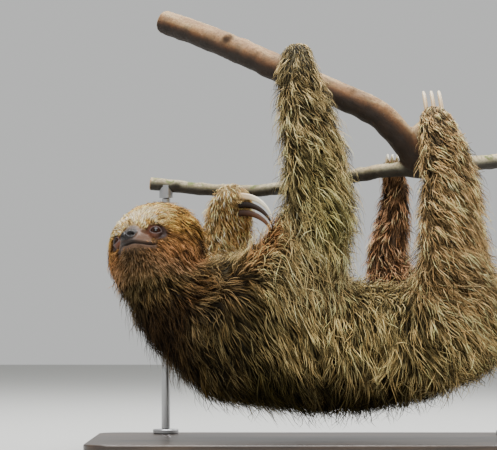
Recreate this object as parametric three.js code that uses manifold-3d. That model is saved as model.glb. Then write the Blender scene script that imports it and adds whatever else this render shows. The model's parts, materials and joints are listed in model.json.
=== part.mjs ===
// A three-toed sloth hanging belly up from a forked branch, life size, on a display stand.
// Millimetres, +Z up, +X towards the rump, -Y towards the side that faces the viewer.
// The origin is the centre of the underside of the base.
// The body's solids reach out to the tips of the coat.
import * as THREE from "three";
import Module from "manifold-3d";
import { mergeVertices } from "three/addons/utils/BufferGeometryUtils.js";

// ---------- Driving dimensions ----------
const GAP = 0.3;
const BODY_SIDES = 16;
const LIMB_SIDES = 12;
const HEAD_SIDES = 14;
const BRANCH_SIDES = 10;
const CLAW_SIDES = 6;
const CAP_RINGS = 4;
const FRAME_STEP = 1 / 64;

// Stations along each part of the body: x, y, z, half its width, half its depth.
const NECK = [
  [-201, -12, 222, 42, 40],
  [-188, -15, 183, 53, 52],
  [-154, -15, 153, 66, 61],
  [-112, -15, 136, 74, 68],
];
const TRUNK = [
  [-111, -15, 135, 87, 77],
  [-39, -15, 125, 87, 80],
  [38, -15, 116, 76, 76],
  [109, -15, 128, 67, 70],
  [160, -15, 146, 56, 62],
];
const TAIL = [
  [186, -12, 142, 16, 16],
  [212, -12, 134, 15, 15],
  [228, -12, 126, 12, 12],
];
const ARM_RIGHT = [
  [-54, -44, 180, 71, 46],
  [-21, -58, 252, 47, 38],
  [-23, -58, 292, 44, 35],
  [-26, -56, 329, 41, 32],
  [-34, -54, 368, 36, 29],
  [-41, -48, 409, 28, 24],
  [-43, -36, 429, 21, 20],
  [-42, -16, 440, 18, 14],
  [-42, 2, 439, 15, 11],
];
const UPPER_ARM_LEFT = [
  [-70, 42, 165, 46, 42],
  [-108, 68, 188, 39, 37],
  [-140, 90, 210, 33, 32],
];
const FOREARM_LEFT = [
  [-130, 91, 215, 34, 31],
  [-121, 84, 243, 33, 29],
  [-117, 71, 271, 30, 25],
  [-111, 52, 285, 23, 17],
];
const LEG_RIGHT = [
  [147, -25, 139, 54, 46],
  [131, -42, 166, 55, 46],
  [125, -64, 215, 45, 40],
  [123, -60, 258, 42, 35],
  [123, -52, 297, 38, 31],
  [117, -42, 330, 32, 27],
  [111, -30, 359, 24, 19],
  [110, -20, 370, 17, 13],
];
const LEG_LEFT = [
  [129, 15, 139, 48, 44],
  [75, 45, 179, 36, 34],
  [62, 62, 211, 30, 28],
  [68, 60, 256, 25, 23],
  [71, 53, 292, 20, 17],
  [67, 45, 312, 16, 12],
  [66, 42, 319, 12, 9],
];

// Where each limb is parted, as a fraction of its stations.
const ELBOW_RIGHT = 0.28;
const WRIST_RIGHT = 0.66;
const WRIST_LEFT = 0.62;
const KNEE_RIGHT = 0.36;
const ANKLE_RIGHT = 0.76;
const KNEE_LEFT = 0.38;
const ANKLE_LEFT = 0.78;
const RIBS_END = 0.36;
const BELLY_END = 0.7;

// The head: its middle, and how it turns, looks up and tips over.
const HEAD = {
  at: [-201, -15, 220],
  yaw: 32,
  pitch: 21,
  roll: 14,
};
// Places and half sizes in the head's own frame: to its right, forward and up.
const CRANIUM = { at: [0, -4, 8], half: [55, 47, 50] };
const RUFF = { at: [0, 2, -14], half: [52, 42, 38] };
const MUZZLE = { at: [0, 35, -8], half: [20, 21, 18] };
const NOSE = { at: [0, 53, -1], half: [9, 5, 7] };
const EYE = { side: 24.1, forward: 33.3, up: 3.2, radius: 6.6 };

// The branch, in stations of x, y, z and radius.
const BRANCH_MAIN = [
  [-193, 105, 490, 13.5],
  [-146, 62, 468, 14],
  [-94, 18, 441, 14.5],
  [-42, -4, 414, 15.2],
  [5, -8, 393.5, 14.4],
  [46, -3, 374.5, 15.4],
  [73, 4, 349, 15.2],
  [89, 12, 326, 14.5],
];
const BRANCH_SIDE = [
  [-210, 112, 303, 7.5],
  [-135, 106, 295, 7],
  [-80, 92, 294, 7],
  [-3, 58, 303, 7.5],
  [65, 20, 313, 8],
  [101, 18, 312, 9],
  [155, 50, 321, 8.5],
  [216, 92, 331, 8],
];
const BRANCH_SHOOT = [
  [86, 11, 333, 12],
  [97, 8, 354, 11],
  [122, 8.5, 370, 10],
];
const FORK = 0.71;

// Claws: three to each hand and foot, each a tapering arc.
const CLAW_ROOT = 3.3;
const CLAW_TIP = 0.8;
const CLAW_DEPTH = 1.25;
const CLAW_RINGS = 8;

const BASE = { length: 540, depth: 300, height: 14, corner: 26, bevel: 2 };
const ROD = { radius: 5, foot: 15, footHeight: 5, cup: 8, cupHeight: 15, sides: 18 };
const ROD_AT = { left: 0.035, right: 0.965 };

// ---------- Solids ----------
const wasm = await Module();
wasm.setup();

function vector(values) {
  return new THREE.Vector3(values[0], values[1], values[2]);
}

// A solid from a closed geometry, its shared vertices joined.
function solidOf(geometry) {
  const bare = geometry.clone();
  bare.deleteAttribute("normal");
  bare.deleteAttribute("uv");
  const merged = mergeVertices(bare, 1e-3);
  return new wasm.Manifold(
    new wasm.Mesh({
      numProp: 3,
      vertProperties: merged.attributes.position.array,
      triVerts: new Uint32Array(merged.index.array),
    }),
  );
}

// A closed skin over rings of points, with a pole at each end.
function skinned(rings, firstPole, lastPole) {
  const sides = rings[0].length;
  const points = rings.flat();
  const first = points.length;
  const last = first + 1;
  points.push(firstPole, lastPole);
  const faces = [];
  for (let side = 0; side < sides; side += 1) {
    const next = (side + 1) % sides;
    faces.push(first, next, side);
    for (let ring = 0; ring + 1 < rings.length; ring += 1) {
      const a = ring * sides;
      const b = a + sides;
      faces.push(a + side, a + next, b + next, a + side, b + next, b + side);
    }
    const end = (rings.length - 1) * sides;
    faces.push(last, end + side, end + next);
  }
  const geometry = new THREE.BufferGeometry().setFromPoints(points);
  geometry.setIndex(faces);
  return geometry;
}

// A smooth line through stations, with the half sizes read off at the same places.
function lineOf(stations) {
  const line = new THREE.CatmullRomCurve3(stations.map(vector), false, "centripetal");
  const sizes = new THREE.CatmullRomCurve3(
    stations.map((row) => new THREE.Vector3(row[3], row[4] ?? row[3], 0)),
  );
  return { line, sizes };
}

// The direction of a section's depth at each of some fractions: Y, carried along the line without twist.
function depthsAlong(line, fractions) {
  const across = new THREE.Vector3(0, 1, 0);
  let before = line.getTangent(0);
  let reached = 0;
  return fractions.map((fraction) => {
    for (; reached <= fraction; reached += FRAME_STEP) {
      const tangent = line.getTangent(Math.min(reached, 1));
      across.applyQuaternion(new THREE.Quaternion().setFromUnitVectors(before, tangent));
      before = tangent;
    }
    const tangent = line.getTangent(fraction);
    return across.clone().addScaledVector(tangent, -across.dot(tangent)).normalize();
  });
}

// Elliptical rings swept along stations, from one fraction of the line to another.
// The width lies across the line, and the depth along Y carried with it.
// A cap length rounds an end over; a parted end is flat and half a gap short.
function loft(stations, { from = 0, to = 1, sides = LIMB_SIDES, rings = 8, caps = [0, 0], grow = 0 }) {
  const { line, sizes } = lineOf(stations);
  const steps = [];
  for (let ring = 0; ring <= rings; ring += 1) {
    steps.push(from + ((to - from) * ring) / rings);
  }
  const depths = depthsAlong(line, steps);
  const outlines = [];
  const addRing = (centre, tangent, depth, size, scale) => {
    const width = new THREE.Vector3().crossVectors(depth, tangent).normalize();
    const points = [];
    for (let side = 0; side < sides; side += 1) {
      const angle = (2 * Math.PI * side) / sides;
      points.push(
        centre
          .clone()
          .addScaledVector(width, (size.x + grow) * scale * Math.cos(angle))
          .addScaledVector(depth, (size.y + grow) * scale * Math.sin(angle)),
      );
    }
    outlines.push(points);
  };
  const poles = [];
  steps.forEach((t, index) => {
    const tangent = line.getTangent(t);
    const centre = line.getPoint(t);
    const size = sizes.getPoint(t);
    const depth = depths[index];
    const isFirst = index === 0;
    const isLast = index === steps.length - 1;
    const way = isFirst ? -1 : 1;
    const cap = isFirst ? caps[0] : caps[1];
    if (!isFirst && !isLast) {
      addRing(centre, tangent, depth, size, 1);
      return;
    }
    if (cap === 0) {
      const flat = centre.clone().addScaledVector(tangent, way * (2 * grow - GAP / 2));
      addRing(flat, tangent, depth, size, 1);
      poles.push(flat);
      return;
    }
    const capRings = [];
    for (let step = 0; step < CAP_RINGS; step += 1) {
      const angle = (Math.PI / 2) * (step / CAP_RINGS);
      const reach = way * (cap + grow) * Math.sin(angle);
      capRings.push([centre.clone().addScaledVector(tangent, reach), Math.cos(angle)]);
    }
    if (isFirst) capRings.reverse();
    capRings.forEach(([place, scale]) => addRing(place, tangent, depth, size, scale));
    poles.push(centre.clone().addScaledVector(tangent, way * (cap + grow)));
  });
  return solidOf(skinned(outlines, poles[0], poles[1]));
}

function without(body, cutters) {
  return cutters.reduce((left, cutter) => left.subtract(cutter), body);
}

function joined(bodies) {
  return bodies.reduce((sum, body) => sum.add(body));
}

// ---------- Materials ----------
function finish(color, roughness, metalness = 0) {
  return new THREE.MeshStandardMaterial({ color, roughness, metalness });
}

const MATERIALS = {
  coat: finish(0x6b5536, 0.95),
  face: finish(0xb59a6a, 0.9),
  nose: finish(0x1b1817, 0.35),
  eye: finish(0x140c08, 0.08),
  horn: finish(0xb9a27f, 0.45),
  hornDark: finish(0x3a2a20, 0.45),
  bark: finish(0x7a5a48, 0.85),
  barkGrey: finish(0x77705f, 0.9),
  plate: finish(0x2b2b2c, 0.5),
  steel: finish(0x9a9c9e, 0.3, 1),
};

const group = new THREE.Group();

function add(name, body, material) {
  const data = body.getMesh();
  const geometry = new THREE.BufferGeometry();
  geometry.setAttribute("position", new THREE.BufferAttribute(data.vertProperties, data.numProp));
  geometry.setIndex(new THREE.BufferAttribute(data.triVerts, 1));
  geometry.computeVertexNormals();
  const mesh = new THREE.Mesh(geometry, material.clone());
  mesh.name = name;
  group.add(mesh);
}

// ---------- Head ----------
// The matrix from the head's own frame (to its right, forward, up) to the model.
function headFrame() {
  const yaw = THREE.MathUtils.degToRad(HEAD.yaw);
  const pitch = THREE.MathUtils.degToRad(HEAD.pitch);
  const roll = THREE.MathUtils.degToRad(HEAD.roll);
  const forward = new THREE.Vector3(
    -Math.sin(yaw) * Math.cos(pitch),
    -Math.cos(yaw) * Math.cos(pitch),
    Math.sin(pitch),
  );
  const level = new THREE.Vector3().crossVectors(forward, new THREE.Vector3(0, 0, 1)).normalize();
  const above = new THREE.Vector3().crossVectors(level, forward);
  const right = level.clone().multiplyScalar(Math.cos(roll)).addScaledVector(above, -Math.sin(roll));
  const up = above.clone().multiplyScalar(Math.cos(roll)).addScaledVector(level, Math.sin(roll));
  return new THREE.Matrix4().makeBasis(right, forward, up).setPosition(...HEAD.at);
}

const HEAD_FRAME = headFrame();

// An egg-shaped solid in the head's frame.
function headEgg({ at, half }, grow = 0, segments = HEAD_SIDES) {
  const egg = new THREE.SphereGeometry(1, segments, Math.round(segments * 0.6));
  egg.scale(half[0] + grow, half[1] + grow, half[2] + grow);
  egg.translate(...at);
  egg.applyMatrix4(HEAD_FRAME);
  return solidOf(egg);
}

function eye(side, grow = 0) {
  const { forward, up, radius } = EYE;
  return headEgg({ at: [side * EYE.side, forward, up], half: [radius, radius, radius] }, grow, 12);
}

function head(grow = 0) {
  return joined([CRANIUM, RUFF, MUZZLE].map((part) => headEgg(part, grow)));
}

// ---------- Trunk, neck and tail ----------
const TRUNK_CUTS = [0, RIBS_END, BELLY_END, 1];
const TRUNK_CAPS = [72, 46];

// One length of the trunk: 0 is the chest, 1 the belly and 2 the hips.
function trunkPart(index, grow = 0) {
  const from = TRUNK_CUTS[index];
  const to = TRUNK_CUTS[index + 1];
  const caps = [index === 0 ? TRUNK_CAPS[0] : 0, index === 2 ? TRUNK_CAPS[1] : 0];
  return loft(TRUNK, { from, to, sides: BODY_SIDES, rings: 5, caps, grow });
}

function trunk(grow = 0) {
  return joined([0, 1, 2].map((index) => trunkPart(index, grow)));
}

function neck(grow = 0) {
  return loft(NECK, { sides: BODY_SIDES, rings: 7, caps: [20, 20], grow });
}

// ---------- Limbs ----------
// Each limb is its upper length, its lower length and its hand or foot.
const LIMBS = {
  arm_right: [
    { name: "upper_arm_right", stations: ARM_RIGHT, to: ELBOW_RIGHT, rings: 4, caps: [12, 0] },
    { name: "forearm_right", stations: ARM_RIGHT, from: ELBOW_RIGHT, to: WRIST_RIGHT, rings: 5 },
    { name: "hand_right", stations: ARM_RIGHT, from: WRIST_RIGHT, rings: 6, caps: [0, 11] },
  ],
  arm_left: [
    { name: "upper_arm_left", stations: UPPER_ARM_LEFT, rings: 4, caps: [12, 26] },
    { name: "forearm_left", stations: FOREARM_LEFT, to: WRIST_LEFT, rings: 5, caps: [8, 0] },
    { name: "hand_left", stations: FOREARM_LEFT, from: WRIST_LEFT, rings: 4, caps: [0, 11] },
  ],
  leg_right: [
    { name: "thigh_right", stations: LEG_RIGHT, to: KNEE_RIGHT, rings: 5, caps: [12, 0] },
    { name: "shank_right", stations: LEG_RIGHT, from: KNEE_RIGHT, to: ANKLE_RIGHT, rings: 6 },
    { name: "foot_right", stations: LEG_RIGHT, from: ANKLE_RIGHT, rings: 4, caps: [0, 11] },
  ],
  leg_left: [
    { name: "thigh_left", stations: LEG_LEFT, to: KNEE_LEFT, rings: 5, caps: [12, 0] },
    { name: "shank_left", stations: LEG_LEFT, from: KNEE_LEFT, to: ANKLE_LEFT, rings: 5 },
    { name: "foot_left", stations: LEG_LEFT, from: ANKLE_LEFT, rings: 3, caps: [0, 8] },
  ],
};

function limbPart({ stations, ...shape }, grow = 0) {
  return loft(stations, { ...shape, grow });
}

// ---------- Claws ----------
// A tapering arc from its root: it sets out along `out` and bends round towards `bend`.
function claw({ root, out, bend, radius, sweep }) {
  const ahead = vector(out).normalize();
  const side = vector(bend).addScaledVector(ahead, -vector(bend).dot(ahead)).normalize();
  const flank = new THREE.Vector3().crossVectors(ahead, side);
  const start = vector(root);
  const rings = [];
  for (let ring = 0; ring < CLAW_RINGS; ring += 1) {
    const part = ring / (CLAW_RINGS - 1);
    const angle = THREE.MathUtils.degToRad(sweep) * part;
    const size = THREE.MathUtils.lerp(CLAW_ROOT, CLAW_TIP, part ** 1.3);
    const centre = start
      .clone()
      .addScaledVector(ahead, radius * Math.sin(angle))
      .addScaledVector(side, radius * (1 - Math.cos(angle)));
    const inward = ahead
      .clone()
      .multiplyScalar(-Math.sin(angle))
      .addScaledVector(side, Math.cos(angle));
    const points = [];
    for (let corner = 0; corner < CLAW_SIDES; corner += 1) {
      const turn = (2 * Math.PI * corner) / CLAW_SIDES;
      points.push(
        centre
          .clone()
          .addScaledVector(inward, size * CLAW_DEPTH * Math.cos(turn))
          .addScaledVector(flank, size * Math.sin(turn)),
      );
    }
    rings.push(points);
  }
  const middle = (points) =>
    points.reduce((sum, point) => sum.add(point), new THREE.Vector3()).divideScalar(points.length);
  return solidOf(skinned(rings, middle(rings[0]), middle(rings[CLAW_RINGS - 1])));
}

// Each hand and foot: where its claws set out, the step from one to the next, and their curl.
const CLAWS = {
  arm_right: {
    root: [-42, -4, 441],
    step: [8.5, 0, -1],
    out: [0, 1, 0.1],
    bend: [0, 0, -1],
    radius: 22,
    sweep: 150,
    material: MATERIALS.horn,
  },
  arm_left: {
    root: [-107, 44, 275],
    step: [0.5, -1.5, -9.5],
    out: [1, -0.35, 0.12],
    bend: [0.1, -0.2, -1],
    radius: 40,
    sweep: 78,
    material: MATERIALS.hornDark,
  },
  leg_right: {
    root: [109, -21, 375],
    step: [8.5, 0, 0.3],
    out: [-0.12, 0.17, 1],
    bend: [0, 1, -0.17],
    radius: 27,
    sweep: 180,
    material: MATERIALS.horn,
  },
  leg_left: {
    root: [66, 43, 319],
    step: [5.6, 0, 0],
    out: [0, -0.35, 1],
    bend: [0, -1, -0.35],
    radius: 15,
    sweep: 120,
    material: MATERIALS.horn,
  },
};

// ---------- Branch ----------
function branchPart(stations, from, to, rings, caps, grow) {
  return loft(stations, { from, to, sides: BRANCH_SIDES, rings, caps, grow });
}

function mainBranch(grow = 0) {
  return branchPart(BRANCH_MAIN, 0, 1, 18, [0, 10], grow);
}

function sideLeft(grow = 0) {
  return branchPart(BRANCH_SIDE, 0, FORK, 12, [0, 0], grow);
}

function sideRight(grow = 0) {
  return branchPart(BRANCH_SIDE, FORK, 1, 6, [0, 0], grow);
}

function sideBranch(grow = 0) {
  return sideLeft(grow).add(sideRight(grow));
}

// ---------- Stand ----------
function basePlate() {
  const { length, depth, height, corner, bevel } = BASE;
  const halfLength = length / 2 - bevel;
  const halfDepth = depth / 2 - bevel;
  const outline = new THREE.Shape();
  outline.moveTo(-halfLength + corner, -halfDepth);
  outline.absarc(halfLength - corner, -halfDepth + corner, corner, -Math.PI / 2, 0);
  outline.absarc(halfLength - corner, halfDepth - corner, corner, 0, Math.PI / 2);
  outline.absarc(-halfLength + corner, halfDepth - corner, corner, Math.PI / 2, Math.PI);
  outline.absarc(-halfLength + corner, -halfDepth + corner, corner, Math.PI, 1.5 * Math.PI);
  const plate = new THREE.ExtrudeGeometry(outline, {
    depth: height - 2 * bevel,
    bevelEnabled: true,
    bevelThickness: bevel,
    bevelSize: bevel,
    bevelSegments: 1,
    curveSegments: 5,
  });
  plate.translate(0, 0, bevel);
  return solidOf(plate);
}

// A round bar that stands upright on the place (x, y) between two heights.
function upright(place, radius, low, high) {
  const profile = [
    [0, 0],
    [radius, 0],
    [radius, high - low],
    [0, high - low],
  ].map(([x, y]) => new THREE.Vector2(x, y));
  const turned = new THREE.LatheGeometry(profile, ROD.sides);
  turned.rotateX(Math.PI / 2);
  turned.translate(place.x, place.y, low);
  return solidOf(turned);
}

// A rod, its round foot on the base, and the cup at its top that takes the underside of the branch.
function addRod(side) {
  const place = lineOf(BRANCH_SIDE).line.getPoint(ROD_AT[side]);
  const footTop = BASE.height + GAP + ROD.footHeight;
  const cupLow = place.z - ROD.cupHeight;
  const foot = upright(place, ROD.foot, BASE.height + GAP, footTop);
  const rod = upright(place, ROD.radius, footTop + GAP, cupLow - GAP);
  const cup = upright(place, ROD.cup, cupLow, place.z);
  add("stand_foot_" + side, foot, MATERIALS.steel);
  add("stand_rod_" + side, rod, MATERIALS.steel);
  add("stand_cup_" + side, without(cup, [sideBranch(GAP)]), MATERIALS.steel);
}

// ---------- Assembly ----------
function addHead() {
  add("head", without(head(), [eye(1, GAP), eye(-1, GAP), headEgg(NOSE, GAP, 10)]), MATERIALS.face);
  add("nose", headEgg(NOSE, 0, 10), MATERIALS.nose);
  add("eye_left", eye(-1), MATERIALS.eye);
  add("eye_right", eye(1), MATERIALS.eye);
}

function addTrunk() {
  const whole = trunk(GAP);
  add("chest", without(trunkPart(0), [head(GAP)]), MATERIALS.coat);
  add("belly", trunkPart(1), MATERIALS.coat);
  add("hips", trunkPart(2), MATERIALS.coat);
  add("neck", without(neck(), [head(GAP), whole]), MATERIALS.coat);
  const tail = loft(TAIL, { rings: 4, caps: [4, 10] });
  add("tail", without(tail, [whole]), MATERIALS.coat);
}

function addLimb(name) {
  const parts = LIMBS[name];
  const others = [trunk(GAP), neck(GAP), head(GAP), mainBranch(GAP), sideBranch(GAP)];
  parts.forEach((part, index) => {
    const above = parts[index - 1];
    const bends = above !== undefined && above.stations !== part.stations;
    const cutters = bends ? [...others, limbPart(above, GAP)] : others;
    add(part.name, without(limbPart(part), cutters), MATERIALS.coat);
  });
  const flesh = joined(parts.map((part) => limbPart(part, GAP)));
  const { root, step, material, ...shape } = CLAWS[name];
  [-1, 0, 1].forEach((count, index) => {
    const place = root.map((value, axis) => value + count * step[axis]);
    const body = without(claw({ root: place, ...shape }), [flesh]);
    add(parts[2].name + "_claw_" + (index + 1), body, material);
  });
}

function addBranch() {
  const main = mainBranch(GAP);
  const shoot = branchPart(BRANCH_SHOOT, 0, 1, 5, [0, 0], 0);
  add("branch_main", mainBranch(), MATERIALS.bark);
  add("branch_side_left", without(sideLeft(), [main]), MATERIALS.barkGrey);
  add("branch_side_right", without(sideRight(), [main]), MATERIALS.barkGrey);
  add("branch_shoot", without(shoot, [main]), MATERIALS.bark);
}

function addStand() {
  add("stand_base", basePlate(), MATERIALS.plate);
  ["left", "right"].forEach(addRod);
}

addHead();
addTrunk();
Object.keys(LIMBS).forEach(addLimb);
addBranch();
addStand();

export default group;
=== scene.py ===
"""Dress a life-size three-toed sloth that hangs from a forked branch on a display stand.

The flesh is one skin, cut from a distance field that joins a smooth chain for each part of the body.
The coat is solid tapering tufts that march over the same field, so they lie along the body.
Places are millimetres in the tables below and metres in every mesh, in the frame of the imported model.
"""

from __future__ import annotations

import json
import logging
from dataclasses import dataclass, field
from enum import Enum
from functools import cached_property

import bmesh
import bpy
import numpy as np
import openvdb
from mathutils import Euler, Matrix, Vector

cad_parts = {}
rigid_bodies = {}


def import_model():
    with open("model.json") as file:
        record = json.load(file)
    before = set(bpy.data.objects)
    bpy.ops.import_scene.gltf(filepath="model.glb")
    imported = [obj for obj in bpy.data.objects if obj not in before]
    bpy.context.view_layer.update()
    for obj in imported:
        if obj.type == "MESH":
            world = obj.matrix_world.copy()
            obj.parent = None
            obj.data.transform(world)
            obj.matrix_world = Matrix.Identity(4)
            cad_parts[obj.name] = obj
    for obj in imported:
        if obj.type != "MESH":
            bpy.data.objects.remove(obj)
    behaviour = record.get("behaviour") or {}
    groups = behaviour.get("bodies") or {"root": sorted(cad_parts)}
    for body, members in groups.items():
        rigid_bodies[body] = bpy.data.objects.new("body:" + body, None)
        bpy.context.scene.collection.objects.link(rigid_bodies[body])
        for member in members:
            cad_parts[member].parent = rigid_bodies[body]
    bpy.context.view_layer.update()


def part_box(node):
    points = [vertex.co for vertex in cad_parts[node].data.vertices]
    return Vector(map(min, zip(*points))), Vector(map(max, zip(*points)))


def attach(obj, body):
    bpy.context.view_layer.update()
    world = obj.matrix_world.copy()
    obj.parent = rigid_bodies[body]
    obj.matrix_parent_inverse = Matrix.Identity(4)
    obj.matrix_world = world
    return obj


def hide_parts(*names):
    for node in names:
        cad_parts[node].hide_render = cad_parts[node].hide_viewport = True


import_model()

LOG = logging.getLogger("sloth")
MM = 0.001
HEAD_REACH = 0.09
JOIN = 9.0 * MM
Array = np.ndarray
Colour = tuple[float, float, float]
Place = tuple[float, float, float]
Piece = bpy.types.Object
Finish = bpy.types.Material


# ---------------------------------------------------------------- small maths


def unit(vectors: Array) -> Array:
    """Scale vectors to length one."""
    return vectors / np.maximum(np.linalg.norm(vectors, axis=-1, keepdims=True), 1e-9)


def dot(a: Array, b: Array) -> Array:
    """Row by row dot product."""
    return np.sum(a * b, axis=-1)


def smooth(low: float, high: float, value: Array) -> Array:
    """Rise from 0 at low to 1 at high along 3t^2 - 2t^3.

    Args:
        low: Where the rise starts.
        high: Where it ends; lower than low makes it a fall.
        value: The values to read.

    Returns:
        The share risen, between 0 and 1.
    """
    part = np.clip((value - low) / (high - low), 0.0, 1.0)
    return part * part * (3.0 - 2.0 * part)


def bell(value: Array, width: float) -> Array:
    """Bell-shaped weight: exp(-(value / width)^2)."""
    return np.exp(-((value / width) ** 2))


def spot(points: Array, centre: Place, reach: float) -> Array:
    """Bell-shaped weight round a place in millimetres: exp(-(distance / reach)^2)."""
    gap = np.linalg.norm(points - np.array(centre) * MM, axis=-1)
    return bell(gap, reach * MM)


def srgb(red: int, green: int, blue: int) -> Colour:
    """Turn a screen colour into linear light."""
    values = np.array([red, green, blue]) / 255.0
    return tuple(np.where(values <= 0.04045, values / 12.92, ((values + 0.055) / 1.055) ** 2.4))


def waves(points: Array, seed: int, size: float, count: int = 6) -> Array:
    """Smooth random vectors: a sum of sines of random direction, each about `size` metres long.

    Args:
        points: Places to read, in metres.
        seed: Which pattern.
        size: Wavelength in metres.
        count: How many sines are added.

    Returns:
        One vector for each place, each part about -1 to 1.
    """
    rng = np.random.default_rng(seed)
    ways = unit(rng.normal(size=(count, 3))) * 2.0 * np.pi / size
    phases = rng.uniform(0.0, 2.0 * np.pi, (count, 3))
    turns = points @ ways.T
    return sum(np.sin(turns[:, k : k + 1] + phases[k]) for k in range(count)) / np.sqrt(count)


def catmull(rows: Array, fractions: Array) -> Array:
    """Smooth curve through rows of numbers (uniform Catmull-Rom, ends mirrored).

    Args:
        rows: One row for each station.
        fractions: Where to read it, 0 at the first station and 1 at the last.

    Returns:
        One row for each fraction.
    """
    spans = len(rows) - 1
    padded = np.vstack([2 * rows[0] - rows[1], rows, 2 * rows[-1] - rows[-2]])
    place = np.clip(fractions * spans, 0.0, spans - 1e-9)
    first = place.astype(int)
    t = (place - first)[:, None]
    a, b, c, d = (padded[first + step] for step in range(4))
    return 0.5 * (2 * b + (c - a) * t + (2 * a - 5 * b + 4 * c - d) * t**2 + (3 * b - a - 3 * c + d) * t**3)


def carried(tangents: Array) -> Array:
    """Carry the direction +Y along a chain of tangents without twist."""
    across = np.array([0.0, 1.0, 0.0])
    found = []
    for tangent in tangents:
        across = unit(across - tangent * (across @ tangent))
        found.append(across)
    return np.array(found)


# ---------------------------------------------------------------- body shape


class Part(Enum):
    """The parts of the body that have their own coat."""

    HEAD = "head"
    NECK = "neck"
    TRUNK = "trunk"
    TAIL = "tail"
    ARM_RIGHT = "arm_right"
    ARM_LEFT = "arm_left"
    LEG_RIGHT = "leg_right"
    LEG_LEFT = "leg_left"


@dataclass
class Chain:
    """A smooth chain of elliptical sections; its table is x, y, z, half width, half depth, coat in mm."""

    part: Part
    table: tuple[tuple[float, ...], ...]
    links: int
    caps: tuple[float, float]
    blend: float

    @cached_property
    def rows(self) -> Array:
        """The table read at even steps, in metres."""
        return catmull(np.array(self.table, float) * MM, np.linspace(0.0, 1.0, self.links + 1))

    @cached_property
    def centres(self) -> Array:
        """The middle of each section."""
        return self.rows[:, :3]

    @cached_property
    def tangents(self) -> Array:
        """The way along the chain at each section."""
        return unit(np.gradient(self.centres, axis=0))

    @cached_property
    def depths(self) -> Array:
        """The direction of each section's depth."""
        return carried(self.tangents)

    @cached_property
    def widths(self) -> Array:
        """The direction of each section's width."""
        return np.cross(self.depths, self.tangents)

    @cached_property
    def halves(self) -> Array:
        """Half width and half depth of the flesh, which lies inside the coat by the coat's depth."""
        return self.rows[:, 3:5] - self.rows[:, 5:6]

    def near(self, points: Array) -> tuple[Array, Array, Array]:
        """Measure points against the chain.

        For each link the nearest place on its line is found; the distance from there, times
        1 - 1/q, is the distance to the surface, where q is that distance in half sizes.

        Args:
            points: Places, one a row.

        Returns:
            Distance to the flesh, fraction along the chain, and turn round it from 0 to 1.
        """
        best = np.full(len(points), np.inf, dtype=points.dtype)
        along = np.zeros_like(best)
        around = np.zeros_like(best)
        caps = np.array(self.caps) * MM
        last = self.links - 1
        for link in range(self.links):
            start, end = self.centres[link], self.centres[link + 1]
            way = end - start
            length = np.linalg.norm(way)
            t = np.clip((points - start) @ way / length**2, 0.0, 1.0).astype(points.dtype)
            away = points - (start + t[:, None] * way)
            half = self.halves[link] + t[:, None] * (self.halves[link + 1] - self.halves[link])
            cap = caps[0] if link == 0 else caps[1] if link == last else 0.0
            reach = np.full_like(t, cap) if cap else np.minimum(half[:, 0], half[:, 1])
            x = away @ unit(self.widths[link] + self.widths[link + 1]) / half[:, 0]
            y = away @ unit(self.depths[link] + self.depths[link + 1]) / half[:, 1]
            z = away @ (way / length) / reach
            q = np.sqrt(x * x + y * y + z * z) + 1e-6
            gap = np.linalg.norm(away, axis=1) + 1e-6 * half[:, 0]
            distance = gap - gap / q
            closer = distance < best
            best = np.where(closer, distance, best)
            along = np.where(closer, (link + t) / self.links, along)
            around = np.where(closer, np.arctan2(y, x) / (2 * np.pi) + 0.5, around)
        return best, along, around

    def low_high(self, margin: float) -> tuple[Array, Array]:
        """The corners of a box round the chain, with a margin in metres."""
        reach = self.rows[:, 3:5].max(axis=1, keepdims=True) + margin
        return (self.centres - reach).min(axis=0), (self.centres + reach).max(axis=0)


@dataclass
class Egg:
    """An ellipsoid in the head's frame: its middle, half sizes and coat, in millimetres."""

    at: Place
    half: Place
    blend: float

    def distance(self, local: Array) -> Array:
        """Distance of head-frame points to the surface, in metres."""
        away = local - np.array(self.at) * MM
        q = np.linalg.norm(away / (np.array(self.half) * MM), axis=1) + 1e-6
        gap = np.linalg.norm(away, axis=1) + 1e-8
        return gap - gap / q


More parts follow.
